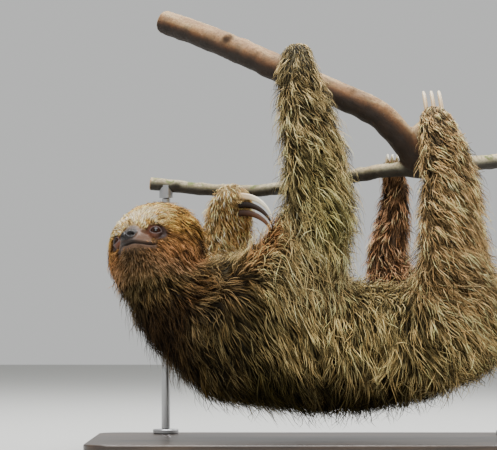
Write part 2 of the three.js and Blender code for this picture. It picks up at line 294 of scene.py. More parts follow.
@dataclass
class Head:
    """The skull's frame and flesh. Local axes run to the animal's right, forward and up.

    Half is the reach of its box in metres, and the face's hair runs away from the whorl.
    """

    at: Place = (-201.0, -15.0, 220.0)
    yaw: float = 32.0
    pitch: float = 21.0
    roll: float = 14.0
    eggs: tuple[Egg, ...] = (
        Egg((0, -4, 8), (50.5, 44.5, 46.5), 0),
        Egg((0, 0, -13), (45, 36, 31), 10),
        Egg((0, 34, -6.5), (16, 22.5, 15.5), 12),
        Egg((0, 34, -19), (13, 14, 9), 8),
        Egg((0, 27, 16), (26, 13, 11), 16),
    )
    ears: tuple[Egg, ...] = (Egg((53, -12, 6), (11, 8, 8), 5), Egg((-53, -12, 6), (11, 8, 8), 5))
    neck_blend: float = 12.0
    half: float = 0.075
    whorl: Place = (0.0, 62.0, -4.0)

    @cached_property
    def origin(self) -> Array:
        """The head's middle in metres."""
        return np.array(self.at) * MM

    @cached_property
    def axes(self) -> Array:
        """Rows: right, forward and up in the model's frame."""
        yaw, pitch, roll = np.radians([self.yaw, self.pitch, self.roll])
        forward = np.array([-np.sin(yaw) * np.cos(pitch), -np.cos(yaw) * np.cos(pitch), np.sin(pitch)])
        level = unit(np.cross(forward, [0.0, 0.0, 1.0]))
        above = np.cross(level, forward)
        right = level * np.cos(roll) - above * np.sin(roll)
        up = above * np.cos(roll) + level * np.sin(roll)
        return np.array([right, forward, up])

    def local(self, points: Array) -> Array:
        """Model points in the head's frame."""
        return (points - self.origin) @ self.axes.T

    def world(self, local: Array) -> Array:
        """Head-frame points in the model."""
        return local @ self.axes + self.origin

    def near(self, points: Array) -> tuple[Array, Array, Array]:
        """Distance to the flesh of the head, and its turn and tilt round the face, each 0 to 1."""
        local = self.local(points)
        distance = self.eggs[0].distance(local)
        for egg in self.eggs[1:]:
            distance = soft_least(distance, egg.distance(local), egg.blend * MM)
        for ear in self.ears:
            distance = -soft_least(-distance, ear.distance(local), ear.blend * MM)
        way = unit(local)
        tilt = np.arccos(np.clip(way[:, 1], -1.0, 1.0)) / np.pi
        turn = np.arctan2(way[:, 2], way[:, 0]) / (2 * np.pi) + 0.5
        return distance, tilt, turn


def soft_least(a: Array, b: Array, blend: float) -> Array:
    """The lesser of two distances, rounded where they are within `blend` of each other."""
    if blend <= 0.0:
        return np.minimum(a, b)
    share = np.maximum(blend - np.abs(a - b), 0.0) / blend
    return np.minimum(a, b) - share * share * blend * 0.25


@dataclass
class Field:
    """A signed distance on a grid: metres from the skin, less than 0 inside it."""

    low: Array
    pitch: float
    values: Array

    @cached_property
    def slopes(self) -> Array:
        """The gradient at each grid point."""
        return np.stack(np.gradient(self.values, self.pitch), axis=-1)

    def read(self, table: Array, points: Array) -> Array:
        """Read a grid table between its points, trilinearly.

        Args:
            table: One value or vector for each grid point.
            points: Places in metres.

        Returns:
            One value or vector for each place.
        """
        place = (points - self.low) / self.pitch
        limit = np.array(self.values.shape) - 1.001
        place = np.clip(place, 0.0, limit)
        base = place.astype(int)
        part = place - base
        total = 0.0
        for corner in np.ndindex(2, 2, 2):
            share = np.prod(np.where(corner, part, 1.0 - part), axis=1)
            cell = base + corner
            value = table[cell[:, 0], cell[:, 1], cell[:, 2]]
            total = total + (value * share if value.ndim == 1 else value * share[:, None])
        return total

    def distance(self, points: Array) -> Array:
        """Distance from the skin."""
        return self.read(self.values, points)

    def normal(self, points: Array) -> Array:
        """The way out of the skin."""
        return unit(self.read(self.slopes, points))


@dataclass
class Body:
    """The whole body: its chains, its head and the distance field that joins them."""

    head: Head = field(default_factory=Head)
    pitch: float = 2.5 * MM
    margin: float = 30.0 * MM
    chains: tuple[Chain, ...] = (
        Chain(
            Part.TRUNK,
            (
                (-111, -15, 135, 87, 77, 17),
                (-39, -15, 125, 87, 80, 18),
                (38, -15, 116, 76, 76, 17),
                (109, -15, 128, 67, 70, 16),
                (160, -15, 146, 56, 62, 15),
            ),
            14,
            (56, 32),
            0,
        ),
        Chain(
            Part.NECK,
            (
                (-201, -12, 222, 42, 40, 12),
                (-188, -15, 183, 53, 52, 15),
                (-154, -15, 153, 66, 61, 16),
                (-112, -15, 136, 74, 68, 17),
            ),
            8,
            (15, 15),
            22,
        ),
        Chain(
            Part.TAIL,
            ((172, -12, 146, 18, 18, 8), (212, -12, 134, 15, 15, 8), (226, -12, 127, 11, 11, 6)),
            5,
            (5, 5),
            16,
        ),
        Chain(
            Part.ARM_RIGHT,
            (
                (-54, -44, 180, 71, 46, 17),
                (-21, -58, 252, 47, 38, 15),
                (-23, -58, 292, 44, 35, 14),
                (-26, -56, 329, 41, 32, 13),
                (-34, -54, 368, 36, 29, 12),
                (-41, -48, 409, 28, 24, 9),
                (-43, -36, 429, 21, 20, 6),
                (-42, -16, 440, 18, 14, 4),
                (-42, 2, 439, 15, 11, 3),
            ),
            18,
            (12, 9),
            26,
        ),
        Chain(
            Part.ARM_LEFT,
            ((-70, 42, 165, 46, 42, 15), (-108, 68, 188, 39, 37, 14), (-140, 90, 210, 33, 32, 12)),
            6,
            (12, 18),
            22,
        ),
        Chain(
            Part.ARM_LEFT,
            (
                (-130, 91, 215, 34, 31, 11),
                (-121, 84, 243, 33, 29, 10),
                (-117, 71, 271, 30, 25, 8),
                (-111, 52, 285, 23, 17, 5),
            ),
            9,
            (8, 9),
            14,
        ),
        Chain(
            Part.LEG_RIGHT,
            (
                (147, -25, 139, 54, 46, 16),
                (131, -42, 166, 55, 46, 16),
                (125, -64, 215, 45, 40, 15),
                (123, -60, 258, 42, 35, 14),
                (123, -52, 297, 38, 31, 13),
                (117, -42, 330, 32, 27, 11),
                (111, -30, 359, 24, 19, 6),
                (110, -20, 370, 17, 13, 3),
            ),
            16,
            (12, 9),
            26,
        ),
        Chain(
            Part.LEG_LEFT,
            (
                (129, 15, 139, 48, 44, 14),
                (75, 45, 179, 36, 34, 13),
                (62, 62, 211, 30, 28, 11),
                (68, 60, 256, 25, 23, 9),
                (71, 53, 292, 20, 17, 7),
                (67, 45, 312, 16, 12, 4),
                (66, 42, 319, 12, 9, 3),
            ),
            14,
            (12, 6),
            22,
        ),
    )

    @cached_property
    def field(self) -> Field:
        """Work out the distance field: each part in a box of its own, joined by soft least."""
        boxes = [chain.low_high(self.margin) for chain in self.chains]
        half = self.head.half
        head_box = (self.head.origin - half - self.margin, self.head.origin + half + self.margin)
        low = np.min([box[0] for box in boxes] + [head_box[0]], axis=0)
        high = np.max([box[1] for box in boxes] + [head_box[1]], axis=0)
        shape = np.ceil((high - low) / self.pitch).astype(int) + 1
        values = np.full(shape, self.margin, dtype=np.float32)
        for source, box in zip((*self.chains, self.head), (*boxes, head_box)):
            first = np.floor((box[0] - low) / self.pitch).astype(int)
            last = np.minimum(np.ceil((box[1] - low) / self.pitch).astype(int) + 1, shape)
            steps = [np.arange(a, b, dtype=np.float32) * self.pitch + c for a, b, c in zip(first, last, low)]
            grid = np.stack(np.meshgrid(*steps, indexing="ij"), axis=-1).astype(np.float32)
            distance = source.near(grid.reshape(-1, 3))[0].reshape(grid.shape[:3])
            blend = MM * (source.blend if isinstance(source, Chain) else source.neck_blend)
            window = tuple(slice(a, b) for a, b in zip(first, last))
            values[window] = soft_least(values[window], distance, blend)
        return Field(low, self.pitch, values)

    def parts_at(self, points: Array) -> "Reading":
        """Say how far each part's flesh is from each point, and where along and round it lies."""
        distances = np.full((len(Part), len(points)), np.inf)
        along = np.zeros_like(distances)
        around = np.zeros_like(distances)
        depth = np.zeros_like(distances)
        way = np.zeros((len(Part), len(points), 3))
        for chain in self.chains:
            row = list(Part).index(chain.part)
            gap, t, turn = chain.near(points)
            closer = gap < distances[row]
            place = t * chain.links
            base = np.minimum(place.astype(int), chain.links - 1)
            rest = (place - base)[:, None]
            tangents = chain.tangents[base] * (1 - rest) + chain.tangents[base + 1] * rest
            coats = chain.rows[base, 5] * (1 - rest[:, 0]) + chain.rows[base + 1, 5] * rest[:, 0]
            distances[row] = np.where(closer, gap, distances[row])
            along[row] = np.where(closer, t, along[row])
            around[row] = np.where(closer, turn, around[row])
            depth[row] = np.where(closer, coats, depth[row])
            way[row] = np.where(closer[:, None], tangents, way[row])
        row = list(Part).index(Part.HEAD)
        distances[row], along[row], around[row] = self.head.near(points)
        depth[row] = self.head_coat(self.head.local(points))
        way[row] = unit(points - self.head.world(np.array(self.head.whorl) * MM))
        return Reading(distances, along, around, depth, way)

    def head_coat(self, local: Array) -> Array:
        """Depth of the head's coat: short on the face, rising towards the back and the jaw's ruff."""
        back = smooth(34.0, -22.0, local[:, 1] / MM)
        low = smooth(-16.0, -40.0, local[:, 2] / MM)
        return (2.0 + 7.0 * back + 6.0 * low) * MM


@dataclass
class Reading:
    """What each part of the body is to a list of points; rows are the parts, in the Enum's order."""

    distances: Array
    along: Array
    around: Array
    depth: Array
    way: Array

    @cached_property
    def shares(self) -> Array:
        """How much each point belongs to each part: exp(-distance / JOIN), made to add up to 1."""
        weights = np.exp(-np.clip(self.distances - self.distances.min(axis=0), 0, 1.0) / JOIN)
        return weights / weights.sum(axis=0)

    @cached_property
    def owner(self) -> Array:
        """The index of the part that each point belongs to most."""
        return np.argmin(self.distances, axis=0)

    def share(self, part: Part) -> Array:
        """How much each point belongs to one part."""
        return self.shares[list(Part).index(part)]

    @cached_property
    def coat(self) -> Array:
        """The depth of the coat at each point."""
        return np.sum(self.shares * self.depth, axis=0)


# ---------------------------------------------------------------- face


@dataclass
class EyePlace:
    """One eye in the head's frame: side is 1 for the animal's right and -1 for its left."""

    side: int
    centre: Place = (23.0, 32.3, 2.8)
    radius: float = 6.8
    long_half: float = 5.5
    tall_half: float = 3.75

    @cached_property
    def middle(self) -> Array:
        """The eyeball's middle in metres."""
        return np.array([self.side * self.centre[0], *self.centre[1:]]) * MM

    @cached_property
    def axes(self) -> Array:
        """Rows: along the lids, across them, and the way the eye looks."""
        gaze = unit(np.array([self.side * 0.5, 0.86, 0.06]))
        length = unit(np.cross([0.0, 0.12 * self.side, 1.0], gaze))
        return np.array([length, np.cross(gaze, length), gaze])

    def read(self, local: Array) -> tuple[Array, Array, Array]:
        """Places along, across and out of the eye, in millimetres."""
        along, across, out = ((local - self.middle) @ self.axes.T / MM).T
        return along, across, out

    def opening(self, local: Array) -> Array:
        """Distance from the eye's middle in half openings: 1 on the edge of the lids."""
        along, across, _ = self.read(local)
        bow = across - 0.35 * (1.0 - (along / self.long_half) ** 2)
        corner = 1.0 - 0.22 * np.clip(np.abs(along) / self.long_half, 0.0, 1.3) ** 3
        return np.sqrt((along / self.long_half) ** 2 + (bow / (self.tall_half * corner)) ** 2)

    def rear(self, along: Array) -> Array:
        """Places along the eye counted towards the back of the head, in millimetres."""
        return along * self.rear_sign

    @cached_property
    def rear_sign(self) -> float:
        """Whether the lids' long axis runs to the back of the head (1) or to the nose (-1)."""
        return float(np.sign(self.axes[0, 0] * self.side))

    def patch(self, along: Array, across: Array) -> Array:
        """Distance from the middle of the bare patch in half sizes, 1 on its edge."""
        rear = self.rear(along)
        return np.sqrt(((rear - 1.2) / 10.5) ** 2 + ((across + 0.12 * rear) / 7.6) ** 2)

    def shaped(self, local: Array) -> Array:
        """Press the skin into a socket behind the eyeball and lay lids over its edge.

        Args:
            local: Skin points in the head's frame, in metres.

        Returns:
            The points moved along the eye's gaze.
        """
        along, across, out = self.read(local)
        q = self.opening(local)
        flat = along**2 + across**2
        lid = np.sqrt(np.maximum((self.radius + 0.9) ** 2 - flat, 1.0))
        lid = lid + 0.5 * bell(q - 1.16, 0.14) - 0.5 * bell(q - 1.5, 0.12)
        brow = bell(q - 1.95, 0.3) * smooth(0.0, 2.5, across)
        lid = lid + 0.7 * brow
        pouch = bell(q - 2.1, 0.3) * smooth(0.5, -2.5, across)
        lid = lid + 0.5 * pouch
        socket = np.sqrt(np.maximum(self.radius**2 - flat, 0.0)) - 3.0
        target = socket + (lid - socket) * smooth(0.86, 1.1, q)
        hold = smooth(3.1, 1.55, q) * smooth(-4.0, -1.0, out)
        moved = out * (1 - hold) + target * hold
        return local + ((moved - out) * MM)[:, None] * self.axes[2]


@dataclass
class Face:
    """The bare and creased features of the face, as functions of places in the head's frame.

    Each is at x, z and has half sizes across and up, in millimetres.
    """

    eyes: tuple[EyePlace, ...] = (EyePlace(1), EyePlace(-1))
    nose_at: tuple[float, float] = (0.0, -1.2)
    nose_half: tuple[float, float] = (9.6, 8.2)
    nostril_at: tuple[float, float] = (5.3, -2.6)
    nostril_half: tuple[float, float] = (2.5, 2.2)
    mouth_height: float = -14.4
    mouth_half: float = 25.0

    def nose(self, local: Array) -> Array:
        """Distance from the nose pad's middle in half sizes, 1 on its edge; large off the snout."""
        x, y, z = (local / MM).T
        across, up = (x - self.nose_at[0]) / self.nose_half[0], (z - self.nose_at[1]) / self.nose_half[1]
        q = np.sqrt(across**2 + up**2)
        return np.where(y > 38.0, q, 9.0)

    def mouth(self, local: Array) -> tuple[Array, Array]:
        """Height above the line of the lips in millimetres, and how much the line is there."""
        x, y, z = (local / MM).T
        side = np.abs(x)
        line = self.mouth_height + 1.3 * smooth(0.0, 9.0, side) + 0.09 * np.clip(side - 9.0, 0.0, 14.0)
        there = smooth(self.mouth_half + 1.5, self.mouth_half - 3.0, side) * smooth(8.0, 16.0, y)
        return z - line, there

    def shaped(self, local: Array) -> Array:
        """Cut the mouth, the nostrils and the eye sockets into the skin.

        Args:
            local: Skin points in the head's frame, in metres.

        Returns:
            The points with the features pressed in or raised.
        """
        x, _, z = (local / MM).T
        way = unit(local * np.array([1.0, 1.0, 0.6]) - np.array([0.0, 10.0, -4.0]) * MM)
        height, there = self.mouth(local)
        push = -2.4 * bell(height, 0.75) * there
        push += 0.9 * bell(height - 2.2, 1.6) * there
        push += 0.7 * bell(height + 2.0, 1.4) * there * smooth(23.0, 12.0, np.abs(x))
        q = self.nose(local)
        push += 2.1 * smooth(1.15, 0.45, q) - 0.5 * bell(q - 1.12, 0.1)
        for side in (-1.0, 1.0):
            u = (x - side * self.nostril_at[0]) / self.nostril_half[0]
            v = (z - self.nose_at[1] - self.nostril_at[1]) / self.nostril_half[1]
            hole = np.exp(-((u * u + v * v) ** 2)) * (q < 1.2)
            push -= 4.2 * hole
            push += 0.7 * np.exp(-((np.sqrt(u * u + v * v) - 1.6) ** 2) / 0.1) * (q < 1.3)
        groove = bell(x, 0.7) * smooth(1.5, -2.5, z) * (q < 1.6) * smooth(-13.0, -9.0, z)
        push -= 0.7 * groove
        moved = local + (push * MM)[:, None] * way
        for eye in self.eyes:
            moved = eye.shaped(moved)
        return moved

    def bare(self, local: Array) -> Array:
        """How bare of hair the skin is: 1 on the pad, lips and lids, 0 on the furred head."""
        x, y, z = (local / MM).T
        height, there = self.mouth(local)
        snout = np.sqrt((x / 22.0) ** 2 + ((z + 3.0) / 10.5) ** 2)
        bridge = np.sqrt((x / 10.5) ** 2 + ((z - 3.0) / 9.0) ** 2)
        found = np.maximum(smooth(1.3, 0.85, snout), smooth(1.2, 0.8, bridge)) * smooth(22.0, 32.0, y)
        found = np.maximum(found, smooth(1.3, 1.05, self.nose(local)))
        found = np.maximum(found, np.exp(-((height / np.where(height < 0.0, 5.6, 5.4)) ** 2)) * there)
        for eye in self.eyes:
            along, across, out = eye.read(local)
            found = np.maximum(found, smooth(1.2, 0.9, eye.patch(along, across)) * (out > -6.0))
        return found


# ---------------------------------------------------------------- markings


@dataclass
class Markings:
    """The colours of skin and coat, as named colours laid over one another by place; some are partly painted
    shade: the trunk's underside, the throat under the jaw, the ears' hollows, the shoulder's crease and the
    upper lip's edge.
    """

    trunk: Colour = srgb(166, 152, 104)
    # Dark olive, partly the coat's own dark colour and partly painted shade: laid on the trunk's underside,
    # the lower chest and the arm's upper end.
    dark_coat_and_shade: Colour = srgb(52, 48, 21)
    neck: Colour = srgb(68, 50, 28)
    # Near black, partly the throat's own dark coat and partly painted shadow under the jaw.
    dark_throat_and_shadow: Colour = srgb(28, 19, 9)
    rust: Colour = srgb(184, 122, 72)
    arm: Colour = srgb(188, 172, 124)
    algae: Colour = srgb(170, 170, 104)
    far_arm: Colour = srgb(238, 206, 146)
    leg: Colour = srgb(184, 159, 114)
    far_leg: Colour = srgb(184, 146, 110)
    crown: Colour = srgb(180, 142, 76)
    brow: Colour = srgb(255, 228, 174)
    cheek: Colour = srgb(144, 106, 70)
    jaw: Colour = srgb(148, 118, 86)
    stripe: Colour = srgb(84, 52, 34)
    chin: Colour = srgb(98, 82, 58)
    # Painted shadow for the ears' hollows.
    ear: Colour = srgb(26, 16, 9)
    snout: Colour = srgb(96, 70, 53)
    # Partly the upper lip's own dark skin and partly painted shade over the mouth's crease.
    upper_lip_and_shade: Colour = srgb(44, 32, 25)
    bridge: Colour = srgb(104, 94, 88)
    pad: Colour = srgb(24, 21, 21)
    lip: Colour = srgb(92, 70, 55)
    lid: Colour = srgb(96, 80, 78)
    lid_patch: Colour = srgb(94, 55, 36)
    lid_rear: Colour = srgb(38, 17, 8)
    fold: tuple[Place, ...] = (
        (-115, -70, 195),
        (-106, -67, 204),
        (-96, -65, 213),
        (-87, -62, 222),
        (-78, -60, 231),
        (-70, -60, 239),
    )

    def over(self, base: Array, name: str, share: Array) -> Array:
        """Lay a named colour over a base by a share from 0 to 1."""
        return base + (np.array(getattr(self, name)) - base) * np.clip(share, 0.0, 1.0)[:, None]

    def coat(self, points: Array, reading: Reading, head: Head, face: Face) -> Array:
        """The coat's colour at each place.

        Args:
            points: Places on the skin.
            reading: What each part is to those places.
            head: The head's frame.
            face: The face's features.

        Returns:
            One linear colour a row.
        """
        x, _, z = (points / MM).T
        speckle = waves(points, 5, 0.06)[:, 0] * 0.12
        side = 20.0 * smooth(-40.0, 60.0, x) - 8.0
        colour = np.tile(np.array(self.trunk), (len(points), 1))
        # The trunk darkens towards its underside: partly its own darker coat, partly painted shade.
        colour = self.over(colour, "dark_coat_and_shade", smooth(114.0, 78.0, z + 30 * speckle + side))
        # The lower chest by the neck darkens: partly its own darker coat, partly painted shade.
        colour = self.over(colour, "dark_coat_and_shade", smooth(-20.0, -110.0, x) * smooth(215.0, 140.0, z) * 0.75)
        colour = self.over(colour, "neck", reading.share(Part.NECK) * 0.9)
        # The neck's lower part darkens: partly its own dark throat coat, partly painted shadow under the jaw.
        colour = self.over(colour, "dark_throat_and_shadow", reading.share(Part.NECK) * smooth(190.0, 166.0, z) * 0.75)
        colour = self.over(colour, "arm", reading.share(Part.ARM_RIGHT) + speckle)
        patch = spot(points, (0, -90, 262), 40.0) + 0.7 * spot(points, (-30, -90, 320), 34.0)
        colour = self.over(colour, "algae", reading.share(Part.ARM_RIGHT) * patch * (0.45 + 2.0 * speckle))
        # Painted shade: the arm darkens in two steps towards the branch, in the same dark olive.
        shade = 0.22 * smooth(285.0, 330.0, z) + 0.2 * smooth(375.0, 415.0, z)
        colour = self.over(colour, "dark_coat_and_shade", reading.share(Part.ARM_RIGHT) * shade)
        colour = self.over(colour, "far_arm", reading.share(Part.ARM_LEFT))
        colour = self.over(colour, "rust", 0.6 * spot(points, (-92, 62, 258), 16.0))
        colour = self.over(colour, "leg", reading.share(Part.LEG_RIGHT) + reading.share(Part.TAIL))
        colour = self.over(colour, "far_leg", reading.share(Part.LEG_LEFT))
        for at in self.fold:
            colour = self.over(colour, "rust", 0.6 * spot(points, at, 14.0))
        colour = self.over(colour, "rust", 0.3 * spot(points, (-150, -70, 200), 28.0))
        # Painted shadow in the shoulder's crease, in the neck's dark colour.
        colour = self.over(colour, "neck", 0.6 * spot(points, (-128, -70, 182), 20.0))
        return self.head_over(colour, points, reading.share(Part.HEAD), head, face)

    def head_over(self, colour: Array, points: Array, share: Array, head: Head, face: Face) -> Array:
        """Lay the head's markings, with painted shadow in the ears' hollows and under the jaw, over the
        body's colour.
        """
        local = head.local(points)
        x, y, z = (local / MM).T
        own = np.tile(np.array(self.crown), (len(points), 1))
        own = self.over(own, "cheek", smooth(6.0, -12.0, z) * 0.9)
        own = self.over(own, "cheek", smooth(36.0, 48.0, np.abs(x)) * smooth(20.0, 8.0, z) * 0.6)
        own = self.over(own, "jaw", smooth(-14.0, -30.0, z) * 0.95)
        # The underside of the jaw's ruff darkens: partly dark throat coat, partly painted shadow.
        own = self.over(own, "dark_throat_and_shadow", smooth(-28.0, -38.0, z) * 0.95)
        chin = bell(x, 26.0) * smooth(-25.0, -5.0, y) * smooth(-12.0, -20.0, z)
        own = self.over(own, "chin", chin * smooth(-38.0, -29.0, z) * 0.9)
        # Painted shadow in the hollow of each ear.
        ear = np.exp(-(((np.abs(x) - 50.0) / 14.0) ** 2) - ((y + 10.0) / 10.0) ** 2 - ((z - 4.0) / 9.0) ** 2)
        own = self.over(own, "ear", ear * 1.5)
        brow = smooth(2.0, 12.0, z) * smooth(44.0, 20.0, z)
        brow = brow * smooth(8.0, 26.0, y) * smooth(38.0, 16.0, np.abs(x))
        own = self.over(own, "brow", brow * (0.8 + 0.7 * waves(points, 6, 0.008)[:, 0]))
        for eye in face.eyes:
            along, across, _ = eye.read(local)
            outer = eye.rear(along)
            band = bell(across + 0.08 * outer, 5.5)
            band = band * smooth(2.0, 8.0, outer) * smooth(34.0, 18.0, outer)
            own = self.over(own, "stripe", band * 0.75)
        return colour + (own - colour) * np.clip(share * 1.6 - 0.3, 0.0, 1.0)[:, None]

    def bare_over(self, colour: Array, local: Array, face: Face) -> Array:
        """Lay the bare skin of snout, pad, lips and lids over the coat's colour, with painted shade along the
        upper lip's edge.
        """
        x, _, z = (local / MM).T
        height, there = face.mouth(local)
        bare = face.bare(local)
        colour = self.over(colour, "snout", bare)
        colour = self.over(colour, "bridge", bare * smooth(3.0, 8.0, z) * smooth(13.0, 6.0, np.abs(x)))
        # The upper lip's edge above the mouth darkens: partly its own dark skin, partly painted shade.
        upper = bare * smooth(5.0, 1.0, height) * smooth(-1.0, 0.0, height)
        colour = self.over(colour, "upper_lip_and_shade", upper * 0.8)
        front = smooth(12.0, 6.0, np.abs(x)) * smooth(-1.0, -6.0, z) * smooth(-1.0, 0.0, height)
        colour = self.over(colour, "pad", bare * front * 0.75)
        colour = self.over(colour, "lip", bell(height + 1.8, 1.6) * there)
        colour = self.over(colour, "pad", bell(height, 0.6) * there * 0.9)
        for eye in face.eyes:
            along, across, out = eye.read(local)
            q = eye.opening(local)
            near = (out > -6.0).astype(float)
            patch = eye.patch(along, across)
            colour = self.over(colour, "lid_patch", smooth(1.35, 1.0, patch) * near)
            rear = smooth(-2.0, 6.0, eye.rear(along))
            colour = self.over(colour, "lid_rear", smooth(1.35, 0.9, patch) * near * rear)
            colour = self.over(colour, "lid", smooth(1.42, 1.2, q) * near)
            colour = self.over(colour, "pad", smooth(1.08, 1.0, q) * near)
        return self.over(colour, "pad", smooth(1.14, 0.98, face.nose(local)))


# ---------------------------------------------------------------- meshes


def new_object(
    name: str, vertices: Array, polygons: list[Array], shade_smooth: bool = True
) -> Piece:
    """Make an object from whole arrays.

    Args:
        name: The object's name.
        vertices: One place a row, in metres.
        polygons: Arrays of corner indices, one array for each number of corners.
        shade_smooth: Whether its faces are shaded smooth.

    Returns:
        The linked object.
    """
    mesh = bpy.data.meshes.new(name)
    sizes = np.concatenate([np.full(len(group), group.shape[1], np.int32) for group in polygons])
    corners = np.concatenate([group.ravel() for group in polygons]).astype(np.int32)
    mesh.vertices.add(len(vertices))
    mesh.vertices.foreach_set("co", np.asarray(vertices, np.float32).ravel())
    mesh.loops.add(len(corners))
    mesh.loops.foreach_set("vertex_index", corners)
    mesh.polygons.add(len(sizes))
    starts = np.concatenate([[0], np.cumsum(sizes)[:-1]]).astype(np.int32)
    mesh.polygons.foreach_set("loop_start", starts)
    mesh.polygons.foreach_set("use_smooth", np.full(len(sizes), shade_smooth))
    mesh.update(calc_edges=True)
    mesh.validate()
    made = bpy.data.objects.new(name, mesh)
    bpy.context.scene.collection.objects.link(made)
    return made


def places(made: Piece) -> Array:
    """The object's vertices, one place a row."""
    flat = np.empty(len(made.data.vertices) * 3)
    made.data.vertices.foreach_get("co", flat)
    return flat.reshape(-1, 3)


def paint(made: Piece, name: str, values: Array) -> None:
    """Store a value or a linear colour for each vertex as a named attribute."""
    if values.ndim == 1:
        layer = made.data.attributes.new(name, "FLOAT", "POINT")
        layer.data.foreach_set("value", np.asarray(values, np.float32))
        return
    layer = made.data.attributes.new(name, "FLOAT_COLOR", "POINT")
    rows = np.hstack([values, np.ones((len(values), 1))])
    layer.data.foreach_set("color", np.asarray(rows, np.float32).ravel())


def ring_faces(rings: int, sides: int) -> Array:
    """Quads between rings of points that go round, ring after ring."""
    side = np.arange(sides)
    following = (side + 1) % sides
    base = np.arange(rings - 1)[:, None] * sides
    quads = np.stack([base + side, base + following, base + sides + following, base + sides + side], axis=-1)
    return quads.reshape(-1, 4)


def swept(rings: Array) -> tuple[Array, list[Array]]:
    """Close a stack of rings with a fan at each end.

    Args:
        rings: Places by ring, side and axis.

    Returns:
        Vertices and their polygons.
    """
    count, sides, _ = rings.shape
    poles = np.stack([rings[0].mean(axis=0), rings[-1].mean(axis=0)])
    vertices = np.vstack([rings.reshape(-1, 3), poles])
    side = np.arange(sides)
    following = (side + 1) % sides
    first = np.stack([np.full(sides, count * sides), following, side], axis=1)
    end = (count - 1) * sides
    last = np.stack([np.full(sides, count * sides + 1), end + side, end + following], axis=1)
    return vertices, [ring_faces(count, sides), np.vstack([first, last])]


# ---------------------------------------------------------------- shader helpers


class Sock:
    """A shader socket or number that adds Math nodes when it is used in an expression."""

    def __init__(self, graph: "Graph", value: object) -> None:
        """Keep the graph and the socket or number."""
        self.graph = graph
        self.value = value

    def _with(self, operation: str, *others: object) -> "Sock":
        """Add one Math node on this value and others."""
        inputs = {0: self, **{place + 1: other for place, other in enumerate(others)}}
        return self.graph.node("ShaderNodeMath", {"operation": operation}, inputs)

    def __add__(self, other: object) -> "Sock":
        """Sum."""
        return self._with("ADD", other)

    def __radd__(self, other: object) -> "Sock":
        """Sum, the other way round."""
        return self._with("ADD", other)

    def __sub__(self, other: object) -> "Sock":
        """Difference."""
        return self._with("SUBTRACT", other)

    def __rsub__(self, other: object) -> "Sock":
        """Difference, the other way round."""
        return Sock(self.graph, other)._with("SUBTRACT", self)

    def __mul__(self, other: object) -> "Sock":
        """Product."""
        return self._with("MULTIPLY", other)

    def __rmul__(self, other: object) -> "Sock":
        """Product, the other way round."""
        return self._with("MULTIPLY", other)

    def __pow__(self, other: object) -> "Sock":
        """Power."""
        return self._with("POWER", other)

    def ramp(self, low: float, high: float) -> "Sock":
        """Map low to 0 and high to 1, smoothly, and hold the ends."""
        settings = {"interpolation_type": "SMOOTHSTEP"}
        return self.graph.node("ShaderNodeMapRange", settings, {0: self, 1: low, 2: high, 3: 0.0, 4: 1.0})


class Graph:
    """A material's node tree, with one method for any node."""

    def __init__(self, name: str) -> None:
        """Start a material with a Principled shader."""
        self.material = bpy.data.materials.new(name)
        self.material.use_nodes = True
        self.tree = self.material.node_tree
        self.shader = self.tree.nodes["Principled BSDF"]

    def node(self, kind: str, settings: dict, inputs: dict, output: object = 0) -> Sock:
        """Add a node.

        Args:
            kind: The node's type.
            settings: Attributes set first, such as an operation.
            inputs: Values or Socks by socket name or place.
            output: Name or place of the output that is returned.

        Returns:
            The output, wrapped.
        """
        made = self.tree.nodes.new(kind)
        for key, value in settings.items():
            setattr(made, key, value)
        for key, value in inputs.items():
            self.feed(made.inputs[key], value)
        return Sock(self, made.outputs[output])

    def feed(self, socket: bpy.types.NodeSocket, value: object) -> None:
        """Link or set one socket."""
        inner = value.value if isinstance(value, Sock) else value
        if isinstance(inner, bpy.types.NodeSocket):
            self.tree.links.new(inner, socket)
        elif isinstance(inner, tuple) and socket.type == "RGBA" and len(inner) == 3:
            socket.default_value = (*inner, 1.0)
        else:
            socket.default_value = inner

    def place(self) -> Sock:
        """Object coordinates."""
        return self.node("ShaderNodeTexCoord", {}, {}, "Object")

    def attribute(self, name: str, output: str = "Fac") -> Sock:
        """A named attribute of the mesh."""
        return self.node("ShaderNodeAttribute", {"attribute_name": name}, {}, output)

    def noise(self, scale: float, detail: float = 3.0, where: Sock | None = None) -> Sock:
        """Noise of about 0 to 1 on Object coordinates or on another vector."""
        inputs = {"Vector": where or self.place(), "Scale": scale, "Detail": detail, "Roughness": 0.6}
        return self.node("ShaderNodeTexNoise", {}, inputs, "Fac")

    def stretched(self, scale: Place) -> Sock:
        """Object coordinates scaled along each axis."""
        return self.node("ShaderNodeMapping", {}, {"Vector": self.place(), "Scale": scale})

    def mix(self, share: object, first: object, second: object, blend: str = "MIX") -> Sock:
        """Mix two colours."""
        settings = {"data_type": "RGBA", "blend_type": blend, "clamp_factor": True}
        return self.node("ShaderNodeMix", settings, {0: share, 6: first, 7: second}, 2)

    def bump(self, height: Sock, distance: float, strength: float = 1.0) -> Sock:
        """A bumped normal from a height."""
        inputs = {"Strength": strength, "Distance": distance, "Height": height}
        return self.node("ShaderNodeBump", {}, inputs, "Normal")

    def finish(self, **sockets: object) -> Finish:
        """Feed the shader's sockets, named with underscores for spaces, and return the material."""
        for key, value in sockets.items():
            self.feed(self.shader.inputs[key.replace("_", " ")], value)
        return self.material


# ---------------------------------------------------------------- finishes


